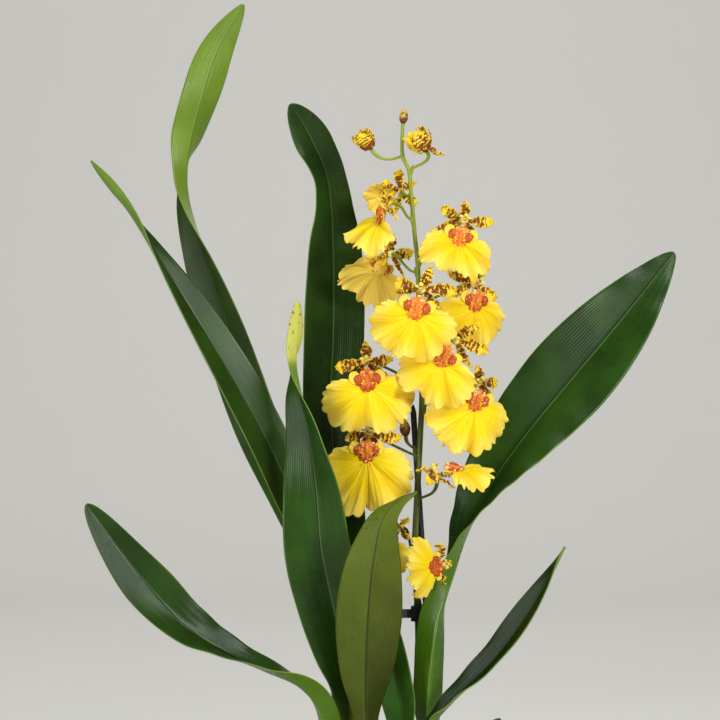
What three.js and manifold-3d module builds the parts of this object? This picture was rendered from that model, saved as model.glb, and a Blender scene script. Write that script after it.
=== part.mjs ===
// A dancing-lady orchid in a plain clay pot: three pseudobulbs in bark, ten strap leaves,
// and one tall spike of ruffled yellow blooms, clipped to a thin stake.
//
// Millimetres, +Z up. The origin is the middle of the pot's underside, and -Y is the side
// that the spike faces. Every piece is a closed solid, and neighbours keep a small gap.

import * as THREE from 'three';
import { mergeVertices } from 'three/addons/utils/BufferGeometryUtils.js';
import Module from 'manifold-3d';

const wasm = await Module();
wasm.setup();

// ---------------------------------------------------------------- driving dimensions

const GAP = 0.3; // clearance between pieces that touch
const LOOK = new THREE.Vector3(0, 1, 0); // from the front of the plant to its back

const POT = {
  height: 108, footRadius: 41, rimRadius: 60, collarHeight: 24, collarStep: 3.5,
  wall: 4.5, floor: 7, sides: 24, drainRadius: 4.5, drainCircle: 22, drains: 4,
};
const BARK = { top: 95, chips: 15, seed: 7, chip: [20, 13, 7.5], margin: 14 };
const STAKE = { foot: [31, 5, 22], tip: [12.9, 4.6, 300], radius: 1.4, sides: 8 };
const CLIP = { z: 204, height: 7, wall: 1.3, tab: [9, 1.6, 4] };
const LEAF = { thickness: 1.1, along: 13, across: 4, tipFrom: 0.76, tipPower: 2.2 };
const PETAL = { thickness: 0.7 };

// Pseudobulbs: middle of the foot, half width, half depth, height, and turn about Z in degrees.
const BULBS = {
  left: { foot: [-19, -6, 84], half: [14.5, 8.5], height: 61, turn: 10 },
  right: { foot: [21, -15, 84], half: [13.5, 8], height: 59, turn: -12 },
  back: { foot: [-7, 21, 84], half: [12.5, 8], height: 55, turn: -4 },
};

// Leaves, from the base to the tip. Each row is the midrib's x, y and z, the half width, the
// turn of the blade about its midrib and the fold of its two halves, in degrees. Turn 0 shows
// the upper face to the front, 90 is edge on with the right edge forward, and 180 shows the back.
const LEAVES = {
  tall_left: [
    [-11, 20, 133, 4, 10, 62], [-18.5, 18, 191, 8.5, 12, 45], [-29, 15, 228, 10.8, 14, 30],
    [-41, 13, 256, 12, 16, 24], [-56.5, 12, 288, 12.6, 20, 22], [-66, 12, 314, 12.8, 24, 22],
    [-74, 11, 339, 12.2, 30, 24], [-83, 9, 367, 10.6, 46, 26], [-90, 6, 391, 9.2, 74, 30],
    [-91.6, 4, 407, 8.6, 104, 28], [-89.4, 3, 423, 9.4, 136, 22], [-84, 3, 443, 10.2, 154, 16],
    [-77, 5, 464, 10.6, 162, 14], [-65.5, 8, 485, 8, 166, 12],
  ],
  long_left: [
    [-20, -4, 139, 4, -10, 62], [-23, -6, 187, 8.5, -14, 45], [-34, -9, 236, 10, -18, 30],
    [-44, -12, 261, 10.4, -22, 24], [-54.5, -15, 284, 10.8, -26, 20], [-67.7, -18, 309, 10.8, -32, 20],
    [-80, -20, 330, 10, -38, 20], [-93, -22, 351, 8.4, -50, 20], [-104.5, -23, 369, 6.4, -66, 22],
    [-113.5, -24, 384, 5, -96, 20], [-124, -25, 399, 4, -130, 16], [-133, -26, 410.5, 2.6, -140, 10],
  ],
  low_left: [
    [-24, -16, 84, 5.5, -172, 60], [-25, -17, 114, 6, -172, 56], [-25.5, -19, 140, 6.5, -166, 50], [-28.5, -23, 160, 7.5, -146, 38],
    [-38.4, -27, 173, 8, -112, 30], [-54, -29, 180.5, 8, -78, 28], [-72, -30, 189, 9, -56, 26],
    [-90, -32, 201, 11, -30, 22], [-105, -33, 217, 11.8, -14, 18], [-117, -34, 232, 11.4, -6, 16],
    [-134, -36, 256, 10, 2, 12],
  ],
  broad_left: [
    [-18, -9, 141, 4.5, 0, 62], [-16.5, -16, 172, 10, 2, 40], [-20, -22, 191, 14, 4, 28],
    [-25, -27, 213, 16, 8, 22], [-29.5, -30, 236, 16.4, 12, 20], [-31.5, -32, 262, 14.4, 22, 20],
    [-34.5, -32, 288, 11, 42, 24], [-38.4, -31, 306, 8.5, 66, 26], [-40.5, -30, 319, 6, 96, 22],
    [-40, -30, 332, 5.4, 138, 14], [-39.5, -30, 347, 5, 158, 10],
  ],
  tall_middle: [
    [-5, 22, 133, 4.5, -6, 62], [-11, 26, 189, 9, -8, 44], [-20, 30, 242, 12, -12, 30],
    [-26, 32, 292, 14.5, -16, 22], [-25, 32, 334, 15.5, -18, 18], [-25, 29, 372, 14.5, -28, 16],
    [-27, 22, 404, 9.6, -36, 20], [-35, 14, 424, 10.4, -18, 16], [-43.5, 8, 439, 9, -6, 12],
  ],
  front_short: [
    [-13, -17, 84, 6, 172, 60], [-12, -18, 114, 6.4, 174, 56], [-9, -25, 150, 7, 178, 50], [-9, -38, 178, 13, 182, 26],
    [-8, -50, 205, 15.5, 184, 18], [-6, -57, 229, 13, 186, 16], [-2, -60, 249, 7.5, 196, 20],
    [5, -60, 258, 4.2, 232, 20], [13.5, -58, 262.5, 2.6, 246, 14],
  ],
  hidden_short: [
    [11.5, -18, 84, 5.5, 20, 60], [11.5, -17.5, 114, 6, 20, 56], [9, -17, 146, 7.5, 18, 48], [7, -18, 166, 9, 14, 32],
    [1, -20, 188, 9.5, 8, 24], [-5, -24, 208, 8, 2, 18], [-11, -29, 226, 5, -2, 14],
  ],
  broad_right: [
    [20, -16, 139, 4.5, 180, 62], [19.6, -16, 162, 8.4, 178, 44], [21.2, -14, 182, 8.8, 168, 40],
    [24.2, -9, 202, 9, 148, 34], [31.5, -1, 222, 9.2, 108, 30], [38.6, 6, 242, 11.4, 70, 26],
    [49.5, 10, 264, 15, 42, 22], [66, 14, 287.5, 18.8, 22, 18], [87, 19, 313, 21.2, 10, 16],
    [112, 25, 342, 19, 5, 14], [136, 30, 371, 12, 2, 12],
  ],
  low_right: [
    [20.5, -30, 84, 5, 100, 60], [19.5, -31, 108, 5, 98, 56], [18, -31, 134, 4.5, 92, 50], [19.5, -30, 153, 5, 88, 40],
    [30, -32, 167, 6.6, 72, 30], [46.5, -37, 184, 8, 58, 24], [60, -42, 202, 8.2, 56, 22],
    [71, -46, 220, 6.4, 66, 20], [79.5, -48, 237.6, 4, 96, 16],
  ],
  young_right: [
    [36.5, -10, 84, 5, 40, 60], [38, -11, 106, 5.6, 40, 56], [41, -13, 128, 7, 32, 48], [45, -16, 144, 7, 24, 34],
    [52, -20, 158, 4.5, 16, 20],
  ],
};

// The flowering stem, from the bark to its topmost bud, and its radius at the two ends.
const STEM = {
  route: [
    [21, 0, 78], [19.5, 0, 108], [17.6, 0, 137], [16, 0, 173], [15.2, 0, 206], [13.8, 0, 229],
    [14.7, 0, 256], [16.1, 0, 284], [17, 0, 305], [15.4, 0, 334], [15.2, 0, 362], [13.6, 0, 379],
    [12, 0, 397], [11, 0, 407.5], [8.2, 0, 414.5], [7.8, 0, 422], [8.2, 0, 428.4],
  ],
  radius: [2.2, 0.78], steps: 32, sides: 6,
};

// Blooms. place is the middle of the flower, turn swings its face to the right of the front,
// nod lifts it, roll spins it clockwise as seen from its front, and from is the height at
// which its stalk leaves the stem. lip is the lip's own roll, and the pitch, the size and the
// width of its blade.
const BLOOMS = [
  { name: 'top_left', place: [7.4, 8, 398.6], turn: -168, nod: 22, roll: -62, size: 0.84, lip: [-66, 8, 0.52, 1], from: 395 },
  { name: 'upper_left', place: [1.6, -9, 392.6], turn: -80, nod: -4, roll: 14, size: 0.9, lip: [30, 60, 1.04, 0.9], from: 385 },
  { name: 'back_left', place: [2.9, 11, 369.7], turn: -150, nod: 4, roll: -20, size: 0.95, lip: [-30, 44, 0.98, 0.92], from: 361 },
  { name: 'upper_right', place: [35.8, -14, 384.4], turn: 2, nod: -6, roll: 16, size: 1, lip: [14, 49, 1, 0.94], from: 366 },
  { name: 'centre', place: [15.8, -43, 352.3], turn: -4, nod: -8, roll: 6, size: 1.06, lip: [13, 0, 1.06, 0.94], from: 340 },
  { name: 'middle_right', place: [41, -5, 355.6], turn: 20, nod: -4, roll: 26, size: 1, lip: [6, 0, 0.94, 1], from: 346 },
  { name: 'star', place: [31.6, -30, 329.6], turn: -14, nod: -6, roll: 6, size: 1.05, lip: [33, 0, 1.03, 1], from: 322 },
  { name: 'left', place: [-9, -20, 320.2], turn: 2, nod: -8, roll: 4, size: 1.06, lip: [-5, 0, 1.08, 1.04], from: 309 },
  { name: 'right', place: [42, -13, 310.4], turn: 18, nod: -6, roll: 4, size: 1.02, lip: [12, 0, 1.16, 0.88], from: 298 },
  { name: 'lower_left', place: [-7.4, -6.2, 286.8], turn: -8, nod: 2, roll: 2, size: 1.04, lip: [2, 0, 1.34, 0.8], from: 276 },
  { name: 'side_right', place: [23.7, -16, 267.6], turn: 6, nod: 74, roll: -82, size: 0.95, lip: [-82, 0, 0.88, 1], from: 256 },
  { name: 'bottom_left', place: [6.6, 6, 243], turn: -64, nod: 2, roll: -4, size: 0.86, lip: [4, 34, 0.98, 1], from: 232 },
  { name: 'bottom', place: [23.4, -16, 227.6], turn: 54, nod: 2, roll: 84, size: 0.84, lip: [86, -12, 0.84, 1.05], from: 216 },
];

// The angle from the flower's top and the length of each bloom's dorsal sepal, its left and
// right petal, and its left and right lateral sepal. Blooms not listed here have the usual ones.
const TEPALS = {
  usual: [[4, 9.5], [-72, 11.5], [70, 12], [-128, 12], [124, 12]],
  upper_right: [[-16, 8], [-78, 11], [78, 13], [-121, 15.5], [134, 14]],
  centre: [[23, 10.5], [-77, 10.5], [84, 14.5], [-105, 12], [132, 14]],
  middle_right: [[-16, 8], [-92, 14], [96, 12.5], [-143, 14], [141, 12]],
  star: [[48, 13], [-22, 11], [104, 14.5], [-84, 11], [150, 13]],
  left: [[0, 8], [-104, 12.5], [86, 11], [-160, 14.5], [128, 14]],
  right: [[-10, 7], [-88, 10], [86, 9], [-146, 13], [128, 11]],
  lower_left: [[20, 8], [-99, 10], [95, 14], [-150, 10.5], [148, 10]],
};

// Each kind's half width, how far its middle comes forward and its tip goes back, how far its
// edges ruffle, and how far its root lies in front of the hub's middle.
const DORSAL = { half: 2.4, arch: 1.8, reflex: -2.2, wave: 0.5, lift: 0.3 };
const SIDE_PETAL = { half: 2.8, arch: 1.2, reflex: 0.6, wave: 0.9, lift: 0.1 };
const LATERAL = { half: 1.8, arch: 0.2, reflex: 1.6, wave: 0.5, lift: -0.9 };
const KINDS = [DORSAL, SIDE_PETAL, SIDE_PETAL, LATERAL, LATERAL];

// Buds: closed ones and two that are opening. open is how far the tepals part, from 0 to 1.
const BUDS = [
  { name: 'tip', place: [8.3, 0, 429.7], turn: 40, nod: 80, roll: 0, size: 0.64, open: 0, from: null },
  { name: 'opening_left', place: [-6.6, -1.2, 417.8], turn: -75, nod: 55, roll: 30, size: 0.92, open: 0.45, from: 414.6 },
  { name: 'opening_right', place: [18.8, -6, 416.4], turn: -80, nod: 52, roll: -10, size: 1.06, open: 0.7, from: 408 },
  { name: 'closed_low', place: [9.5, 2, 286], turn: 200, nod: 74, roll: 0, size: 0.78, open: 0, from: 279 },
];

// Sepals that stand off an opening bud: direction round it, length, climb and further bend.
const LOOSE_SEPALS = {
  opening_left: [[170, 8, 8, 20]],
  opening_right: [[8, 10, -38, -10], [62, 8, 28, 60], [320, 8, 30, 70]],
};

// How far a stalk rises on its way, as a share of its length. All others rise by 0.16.
const STALK_RISE = { opening_left: -0.18, upper_left: 0.02, back_left: -0.04 };

const HUB = { front: 2.2, back: 1.7, half: 1.6 };
const LIP = {
  radius: 20.8, halfSpread: 124, sinus: 122, power: 5, rays: 14, rings: 2,
  wave: 1.6, waves: 8, drape: 0.013, waist: -10.2, height: 3.6, neck: 4.6,
  ear: [5.6, -5.8, 4.6], earRadii: [2.7, 3, 0.5],
};

// ---------------------------------------------------------------- colours

const paint = (color, roughness) => new THREE.MeshStandardMaterial({ color, roughness, metalness: 0 });
const PAINT = {
  clay: paint(0xb5683f, 0.9),
  bark: paint(0x5b3b26, 0.95),
  leaf: paint(0x2f5d1c, 0.42),
  oldLeaf: paint(0x66752a, 0.6),
  bulb: paint(0x6f8a36, 0.5),
  sheath: paint(0xb39a6a, 0.85),
  stem: paint(0x6f8f1f, 0.5),
  lip: paint(0xffd91f, 0.55),
  tepals: paint(0xa8681a, 0.55),
  bud: paint(0x8a7420, 0.55),
  plastic: paint(0x141414, 0.45),
};

// ---------------------------------------------------------------- small tools

const radians = THREE.MathUtils.degToRad;
const vector = (p) => new THREE.Vector3(...p);
const smooth = (low, high, x) => THREE.MathUtils.smoothstep(x, low, high);

// Repeatable random numbers from 0 to 1.
function randomFrom(seed) {
  let state = seed >>> 0;
  return () => {
    state = (state + 0x6d2b79f5) >>> 0;
    let t = Math.imul(state ^ (state >>> 15), 1 | state);
    t = (t + Math.imul(t ^ (t >>> 7), 61 | t)) ^ t;
    return ((t ^ (t >>> 14)) >>> 0) / 4294967296;
  };
}

// A smooth row through a list of rows of numbers, with u running from 0 at the first to 1 at the last.
function rowAt(rows, u) {
  const last = rows.length - 1;
  const s = THREE.MathUtils.clamp(u, 0, 1) * last;
  const k = Math.min(Math.floor(s), last - 1);
  const f = s - k;
  return rows[k].map((b, c) => {
    const d = rows[k + 1][c];
    const a = k > 0 ? rows[k - 1][c] : 2 * b - d;
    const e = k + 2 <= last ? rows[k + 2][c] : 2 * d - b;
    return b + 0.5 * f * (d - a + f * (2 * a - 5 * b + 4 * d - e + f * (3 * (b - d) + e - a)));
  });
}

function solidOf(geometry) {
  const bare = new THREE.BufferGeometry().setAttribute('position', geometry.getAttribute('position'));
  if (geometry.index) bare.setIndex(geometry.index);
  const merged = mergeVertices(bare, 1e-4);
  return new wasm.Manifold(new wasm.Mesh({
    numProp: 3,
    vertProperties: merged.attributes.position.array,
    triVerts: new Uint32Array(merged.index.array),
  }));
}

function meshOf(name, solid, material) {
  const { numProp, numVert, vertProperties, triVerts } = solid.getMesh();
  const position = new Float32Array(numVert * 3);
  for (let i = 0; i < numVert; i++) position.set(vertProperties.subarray(i * numProp, i * numProp + 3), i * 3);
  const geometry = new THREE.BufferGeometry().setAttribute('position', new THREE.BufferAttribute(position, 3));
  geometry.setIndex(new THREE.BufferAttribute(new Uint32Array(triVerts), 1));
  const mesh = new THREE.Mesh(geometry, material);
  mesh.name = name;
  return mesh;
}

const joined = (solids) => solids.reduce((sum, solid) => sum.add(solid));
const largest = (solid) => solid.decompose().reduce((a, b) => (b.volume() > a.volume() ? b : a));

// A closed plate on a grid of midsurface points, split into triangles alike on both faces.
function plate(grid, thickness) {
  const rows = grid.length;
  const cols = grid[0].length;
  const point = (i, j) => grid[THREE.MathUtils.clamp(i, 0, rows - 1)][THREE.MathUtils.clamp(j, 0, cols - 1)];
  const positions = [];
  const normals = grid.map((row, i) => row.map((_, j) => {
    const along = point(i + 1, j).clone().sub(point(i - 1, j));
    const across = point(i, j + 1).clone().sub(point(i, j - 1));
    return along.cross(across).normalize();
  }));
  for (const side of [0.5, -0.5]) {
    grid.forEach((row, i) => row.forEach((p, j) => {
      positions.push(...p.clone().addScaledVector(normals[i][j], side * thickness).toArray());
    }));
  }
  const top = (i, j) => i * cols + j;
  const under = (i, j) => rows * cols + i * cols + j;
  const index = [];
  const quad = (a, b, c, d) => index.push(a, b, c, a, c, d);
  for (let i = 0; i < rows - 1; i++) {
    for (let j = 0; j < cols - 1; j++) {
      quad(top(i, j), top(i + 1, j), top(i + 1, j + 1), top(i, j + 1));
      index.push(under(i, j), under(i + 1, j + 1), under(i + 1, j));
      index.push(under(i, j), under(i, j + 1), under(i + 1, j + 1));
    }
    quad(top(i, 0), under(i, 0), under(i + 1, 0), top(i + 1, 0));
    quad(top(i, cols - 1), top(i + 1, cols - 1), under(i + 1, cols - 1), under(i, cols - 1));
  }
  for (let j = 0; j < cols - 1; j++) {
    quad(top(0, j), top(0, j + 1), under(0, j + 1), under(0, j));
    quad(top(rows - 1, j), under(rows - 1, j), under(rows - 1, j + 1), top(rows - 1, j + 1));
  }
  const geometry = new THREE.BufferGeometry();
  geometry.setAttribute('position', new THREE.Float32BufferAttribute(positions, 3));
  geometry.setIndex(index);
  return geometry;
}

// A closed skin over rings of points, one ring after another, with a flat cap at each end.
function skin(rings) {
  const sides = rings[0].length;
  const last = (rings.length - 1) * sides;
  const index = [];
  for (let j = 0; j < sides; j++) {
    const next = (j + 1) % sides;
    for (let i = 0; i < rings.length - 1; i++) {
      const [a, b, c, d] = [i * sides + j, i * sides + next, (i + 1) * sides + next, (i + 1) * sides + j];
      index.push(a, b, c, a, c, d);
    }
    if (j > 0 && j < sides - 1) index.push(0, j + 1, j, last, last + j, last + j + 1);
  }
  const geometry = new THREE.BufferGeometry();
  geometry.setAttribute('position', new THREE.Float32BufferAttribute(rings.flat().flatMap((p) => p.toArray()), 3));
  geometry.setIndex(index);
  return geometry;
}

// A round bar along a curve, with a radius for each share of its length.
function bar(curve, radiusAt, steps, sides) {
  const frames = curve.computeFrenetFrames(steps, false);
  return skin(Array.from({ length: steps + 1 }, (_, i) => Array.from({ length: sides }, (_, j) => {
    const angle = (j / sides) * 2 * Math.PI;
    return curve.getPointAt(i / steps)
      .addScaledVector(frames.normals[i], radiusAt(i / steps) * Math.cos(angle))
      .addScaledVector(frames.binormals[i], radiusAt(i / steps) * Math.sin(angle));
  })));
}

function ellipsoid(radii, centre, segments = [8, 5]) {
  return new THREE.SphereGeometry(1, ...segments).scale(...radii).translate(...centre);
}

// ---------------------------------------------------------------- pot and bark

function potWallRadius(z, inset) {
  return THREE.MathUtils.lerp(POT.footRadius, POT.rimRadius - POT.collarStep, z / POT.height) - inset;
}

function pot() {
  const { height, footRadius, rimRadius, collarHeight, wall, floor, sides } = POT;
  const collar = height - collarHeight;
  const profile = [
    [0, 0], [footRadius - 2, 0], [footRadius, 2], [potWallRadius(collar, 0), collar],
    [rimRadius - 1, collar + 1.5], [rimRadius, collar + 4], [rimRadius, height - 2.5],
    [rimRadius - 2.5, height], [potWallRadius(height, wall) + 1, height],
    [potWallRadius(height, wall), height - 2], [potWallRadius(floor, wall), floor], [0, floor],
  ];
  let solid = solidOf(new THREE.LatheGeometry(profile.map((p) => new THREE.Vector2(...p)), sides)
    .rotateX(Math.PI / 2));
  for (let i = 0; i < POT.drains; i++) {
    const angle = ((i + 0.5) / POT.drains) * 2 * Math.PI;
    const hole = new THREE.CylinderGeometry(POT.drainRadius, POT.drainRadius, 4 * floor, 12)
      .rotateX(Math.PI / 2)
      .translate(POT.drainCircle * Math.cos(angle), POT.drainCircle * Math.sin(angle), 0);
    solid = solid.subtract(solidOf(hole));
  }
  return solid;
}

// A bed of bark: a plug that fills the pot, with rough chips sunk into its top.
function bark() {
  const random = randomFrom(BARK.seed);
  const low = POT.floor + GAP;
  const bed = [
    [0, low], [potWallRadius(low, POT.wall + 1), low],
    [potWallRadius(BARK.top, POT.wall + 1), BARK.top - 2], [0, BARK.top - 2],
  ];
  const pieces = [solidOf(new THREE.LatheGeometry(bed.map((p) => new THREE.Vector2(...p)), POT.sides)
    .rotateX(Math.PI / 2))];
  const reach = potWallRadius(BARK.top, POT.wall) - BARK.margin;
  for (let i = 0; i < BARK.chips; i++) {
    const angle = i * 2.39996;
    const distance = reach * Math.sqrt((i + 0.5) / BARK.chips);
    const chip = new THREE.BoxGeometry(...BARK.chip.map((size) => size * (0.75 + 0.5 * random())));
    const spots = chip.getAttribute('position');
    const corner = Array.from({ length: 8 }, () => [0, 1, 2].map(() => 0.8 + 0.4 * random()));
    for (let k = 0; k < spots.count; k++) {
      const which = (spots.getX(k) > 0 ? 4 : 0) + (spots.getY(k) > 0 ? 2 : 0) + (spots.getZ(k) > 0 ? 1 : 0);
      const [a, b, c] = corner[which];
      spots.setXYZ(k, spots.getX(k) * a, spots.getY(k) * b, spots.getZ(k) * c);
    }
    chip.rotateX((random() - 0.5) * 0.9).rotateY((random() - 0.5) * 0.9).rotateZ(random() * Math.PI);
    chip.translate(distance * Math.cos(angle), distance * Math.sin(angle), BARK.top - 2.2 + 1.6 * random());
    pieces.push(solidOf(chip));
  }
  return joined(pieces);
}

// ---------------------------------------------------------------- pseudobulbs and their sheaths

// A point on a pseudobulb: t is the share of its height, angle runs round it, and out grows it.
function bulbPoint(bulb, t, angle, out = 0) {
  const swell = Math.sqrt(Math.max(0, 1 - Math.pow(Math.abs(1.72 * t - 0.72), 2.3)));
  const rib = 1 + 0.035 * Math.cos(5 * angle);
  const x = (bulb.half[0] * swell * rib + out) * Math.cos(angle);
  const y = (bulb.half[1] * swell * rib + out) * Math.sin(angle);
  const turn = radians(bulb.turn);
  return new THREE.Vector3(
    bulb.foot[0] + x * Math.cos(turn) - y * Math.sin(turn),
    bulb.foot[1] + x * Math.sin(turn) + y * Math.cos(turn),
    bulb.foot[2] + t * bulb.height + (t > 0.5 ? out : -out),
  );
}

function bulbGeometry(bulb, out = 0) {
  const rings = 7;
  const sides = 14;
  return skin(Array.from({ length: rings + 1 }, (_, i) => Array.from({ length: sides }, (_, j) => (
    bulbPoint(bulb, 0.02 + 0.975 * (i / rings), (j / sides) * 2 * Math.PI, out)
  ))));
}

// A dry papery sheath that hugs the foot of a pseudobulb and ends in a point.
function sheath(bulb, middle, spread, top) {
  const grid = [];
  for (let i = 0; i <= 5; i++) {
    const t = THREE.MathUtils.lerp(0.2, top, i / 5);
    const half = radians(spread) * Math.pow(1 - i / 5, 0.6) + 0.05;
    grid.push([-1, -0.5, 0, 0.5, 1].map((v) => bulbPoint(bulb, t, radians(middle) + v * half, GAP + 0.75)));
  }
  return solidOf(plate(grid, 0.7));
}

// ---------------------------------------------------------------- leaves

function leafGrid(rows, along, across) {
  const grid = [];
  for (let i = 0; i <= along; i++) {
    const u = 1 - Math.pow(1 - i / along, 1.3);
    const [x, y, z, half, turn, fold] = rowAt(rows, u);
    const tangent = vector(rowAt(rows, u + 0.01)).sub(vector(rowAt(rows, u - 0.01))).normalize();
    const right = LOOK.clone().cross(tangent).normalize();
    const face = right.clone().cross(tangent).normalize();
    const a = radians(turn);
    const side = right.clone().multiplyScalar(Math.cos(a)).addScaledVector(face, Math.sin(a));
    const normal = face.clone().multiplyScalar(Math.cos(a)).addScaledVector(right, -Math.sin(a));
    const point = Math.pow(THREE.MathUtils.clamp((u - LEAF.tipFrom) / (1 - LEAF.tipFrom), 0, 1), LEAF.tipPower);
    const width = Math.max(half * Math.sqrt(1 - point), 0.5);
    const row = [];
    for (let j = 0; j <= across; j++) {
      const v = (2 * j) / across - 1;
      row.push(new THREE.Vector3(x, y, z)
        .addScaledVector(side, v * width * Math.cos(radians(fold)))
        .addScaledVector(normal, Math.abs(v) * width * Math.sin(radians(fold))));
    }
    grid.push(row);
  }
  return grid;
}

// ---------------------------------------------------------------- flowers, in their own frame
// x runs to the flower's right as seen from its front, y to its topmost sepal, z out of its face.

function flowerFrame({ place, turn, nod, roll, size }) {
  const facing = vector([
    Math.sin(radians(turn)) * Math.cos(radians(nod)),
    -Math.cos(radians(turn)) * Math.cos(radians(nod)),
    Math.sin(radians(nod)),
  ]);
  const right = new THREE.Vector3(Math.cos(radians(turn)), Math.sin(radians(turn)), 0);
  const up = facing.clone().cross(right).normalize();
  const spin = radians(-roll);
  const rolledRight = right.clone().multiplyScalar(Math.cos(spin)).addScaledVector(up, Math.sin(spin));
  const rolledUp = up.clone().multiplyScalar(Math.cos(spin)).addScaledVector(right, -Math.sin(spin));
  return new THREE.Matrix4().makeBasis(
    rolledRight.multiplyScalar(size), rolledUp.multiplyScalar(size), facing.multiplyScalar(size),
  ).setPosition(...place);
}

// One sepal or petal, of the given kind, that leaves the hub at an angle from its top.
function tepal({ half, arch, reflex, wave, lift }, [angle, length], steps = 2) {
  const out = new THREE.Vector3(Math.sin(radians(angle)), Math.cos(radians(angle)), 0);
  const side = new THREE.Vector3(out.y, -out.x, 0);
  return solidOf(plate(Array.from({ length: steps + 1 }, (_, i) => {
    const t = i / steps;
    const width = half * Math.sin(Math.PI * (0.12 + 0.73 * t));
    return [-1, 0, 1].map((v) => out.clone().multiplyScalar(1 + length * t)
      .addScaledVector(side, v * width)
      .add(new THREE.Vector3(0, 0, lift + arch * Math.sin(Math.PI * t) - reflex * t * t
        + wave * v * Math.sin(2.2 * Math.PI * t) * t + 0.3 * width * Math.abs(v))));
  }), PETAL.thickness));
}

// The five sepals and petals on a small hub, with the column that leans out of it.
function tepalsAndColumn(name) {
  const hub = solidOf(new THREE.CylinderGeometry(HUB.front, HUB.back, 2 * HUB.half, 8).rotateX(Math.PI / 2));
  const column = solidOf(ellipsoid([1.5, 1.5, 3], [0, 0, 0], [6, 4]).rotateX(-0.5).translate(0, 1.3, 3.4));
  const rows = TEPALS[name] ?? TEPALS.usual;
  return joined([hub, column, ...KINDS.map((kind, k) => tepal(kind, rows[k]))]);
}

// How far the lip's edge lies from its waist, at an angle from straight down.
function lipEdge(angle, seed) {
  const dip = (angle - 6 * Math.sin(seed)) / 10;
  const blade = LIP.radius * (1 - 0.9 * Math.min(Math.abs(angle) / LIP.sinus, 1) ** LIP.power)
    * (1 - 0.17 * Math.exp(-(dip ** 2))) * (1 + 0.035 * Math.sin(radians(5 * angle) + seed));
  return Math.max(blade, 2.4);
}

function lipPoint(angle, share, seed) {
  const distance = THREE.MathUtils.lerp(1, lipEdge(angle, seed), share);
  const x = distance * Math.sin(radians(angle));
  const y = -distance * Math.cos(radians(angle));
  const far = distance / LIP.radius;
  const ruffle = LIP.wave * far ** 2 * Math.cos(radians(LIP.waves * angle) + seed);
  const bow = 1.5 * Math.sin(Math.PI * share * 0.8) - 2.4 * far ** 2;
  return new THREE.Vector3(x, y, bow + ruffle - LIP.drape * x * x);
}

// The lip and its callus bend out of the flower's face at the waist.
function bentForward(point, pitch) {
  const bend = -radians(pitch) * (0.2 + 0.8 * smooth(-2, 4, LIP.waist - point.y));
  const y = point.y - LIP.waist;
  const z = point.z - LIP.height;
  return point.set(
    point.x, LIP.waist + y * Math.cos(bend) - z * Math.sin(bend), LIP.height + y * Math.sin(bend) + z * Math.cos(bend),
  );
}

// The lip: a broad ruffled blade, a warty callus with a round lobe on either side of it, and
// a short neck that meets the hub.
function lip([, pitch, size, width], seed) {
  const grid = Array.from({ length: LIP.rings + 1 }, (_, i) => (
    Array.from({ length: LIP.rays + 1 }, (_row, j) => bentForward(
      lipPoint(LIP.halfSpread * ((2 * j) / LIP.rays - 1), (i / LIP.rings) ** 0.85, seed)
        .multiply(new THREE.Vector3(size * width, size, size)).add(new THREE.Vector3(0, LIP.waist, LIP.height)),
      pitch,
    ))
  ));
  const blade = plate(grid, PETAL.thickness);
  const pad = ellipsoid([4.6, 5, 1.7], [0, 0, 0], [7, 5]).rotateX(0.2).translate(0, -7.4, 4.2);
  const ears = [-1, 1].map((hand) => ellipsoid(LIP.earRadii, [0, 0, 0], [6, 3])
    .translate(hand * LIP.ear[0], LIP.ear[1], LIP.ear[2]));
  const neck = new THREE.BoxGeometry(1.8, LIP.neck, 2).translate(0, -HUB.front - GAP - LIP.neck / 2, 2.3);
  const lumps = [pad, ...ears].map((geometry) => {
    const spots = geometry.getAttribute('position');
    for (let k = 0; k < spots.count; k += 1) {
      const spot = bentForward(new THREE.Vector3().fromBufferAttribute(spots, k), pitch);
      spots.setXYZ(k, spot.x, spot.y, spot.z);
    }
    return solidOf(geometry);
  });
  return joined([solidOf(blade), ...lumps, solidOf(neck)]);
}

// A bud: closed it is an egg, and opening it parts its tepals in a cup round that egg.
function budSolid({ name, open }) {
  const egg = solidOf(ellipsoid([3.3, 3, 6 - 2 * open], [0, 0, 4.6 - open], [8, 6]));
  if (!open) return egg;
  const upright = new THREE.Vector3(0, 0, 1);
  const petals = [0, 90, 180, 270].map((angle) => solidOf(plate([0, 1, 2, 3].map((i) => {
    const t = i / 3;
    const spread = 0.4 + 3.9 * Math.sin(Math.PI * (0.16 + 0.64 * t)) + 2 * open * t * t;
    const half = 3.7 * Math.sin(Math.PI * (0.12 + 0.74 * t)) ** 0.8;
    return [-1, 0, 1].map((v) => new THREE.Vector3(
      Math.sqrt(Math.max(spread ** 2 - 0.75 * (v * half) ** 2, 0.3)), v * half, 0.3 + (10.2 - 1.2 * v * v) * t,
    ).applyAxisAngle(upright, radians(angle)));
  }), 0.8)));
  const sepals = LOOSE_SEPALS[name].map(([angle, length, climb, bend]) => {
    let [x, z] = [2.4, 0.6];
    const rows = [0, 1, 2, 3, 4].map((i) => {
      const t = i / 4;
      const slope = radians(climb + bend * t);
      if (i) [x, z] = [x + (Math.cos(slope) * length) / 4, z + (Math.sin(slope) * length) / 4];
      const half = 1.3 * Math.sin(Math.PI * (0.2 + 0.76 * t));
      return [-1, 0, 1].map((v) => new THREE.Vector3(x, v * half + 0.3 * Math.sin(8 * t), z + 0.4 * v * v)
        .applyAxisAngle(upright, radians(angle)));
    });
    return solidOf(plate(rows, 0.6));
  });
  return joined([egg, ...petals, ...sepals]);
}

// ---------------------------------------------------------------- flowering stem

const stemCurve = new THREE.CatmullRomCurve3(STEM.route.map(vector));

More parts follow.
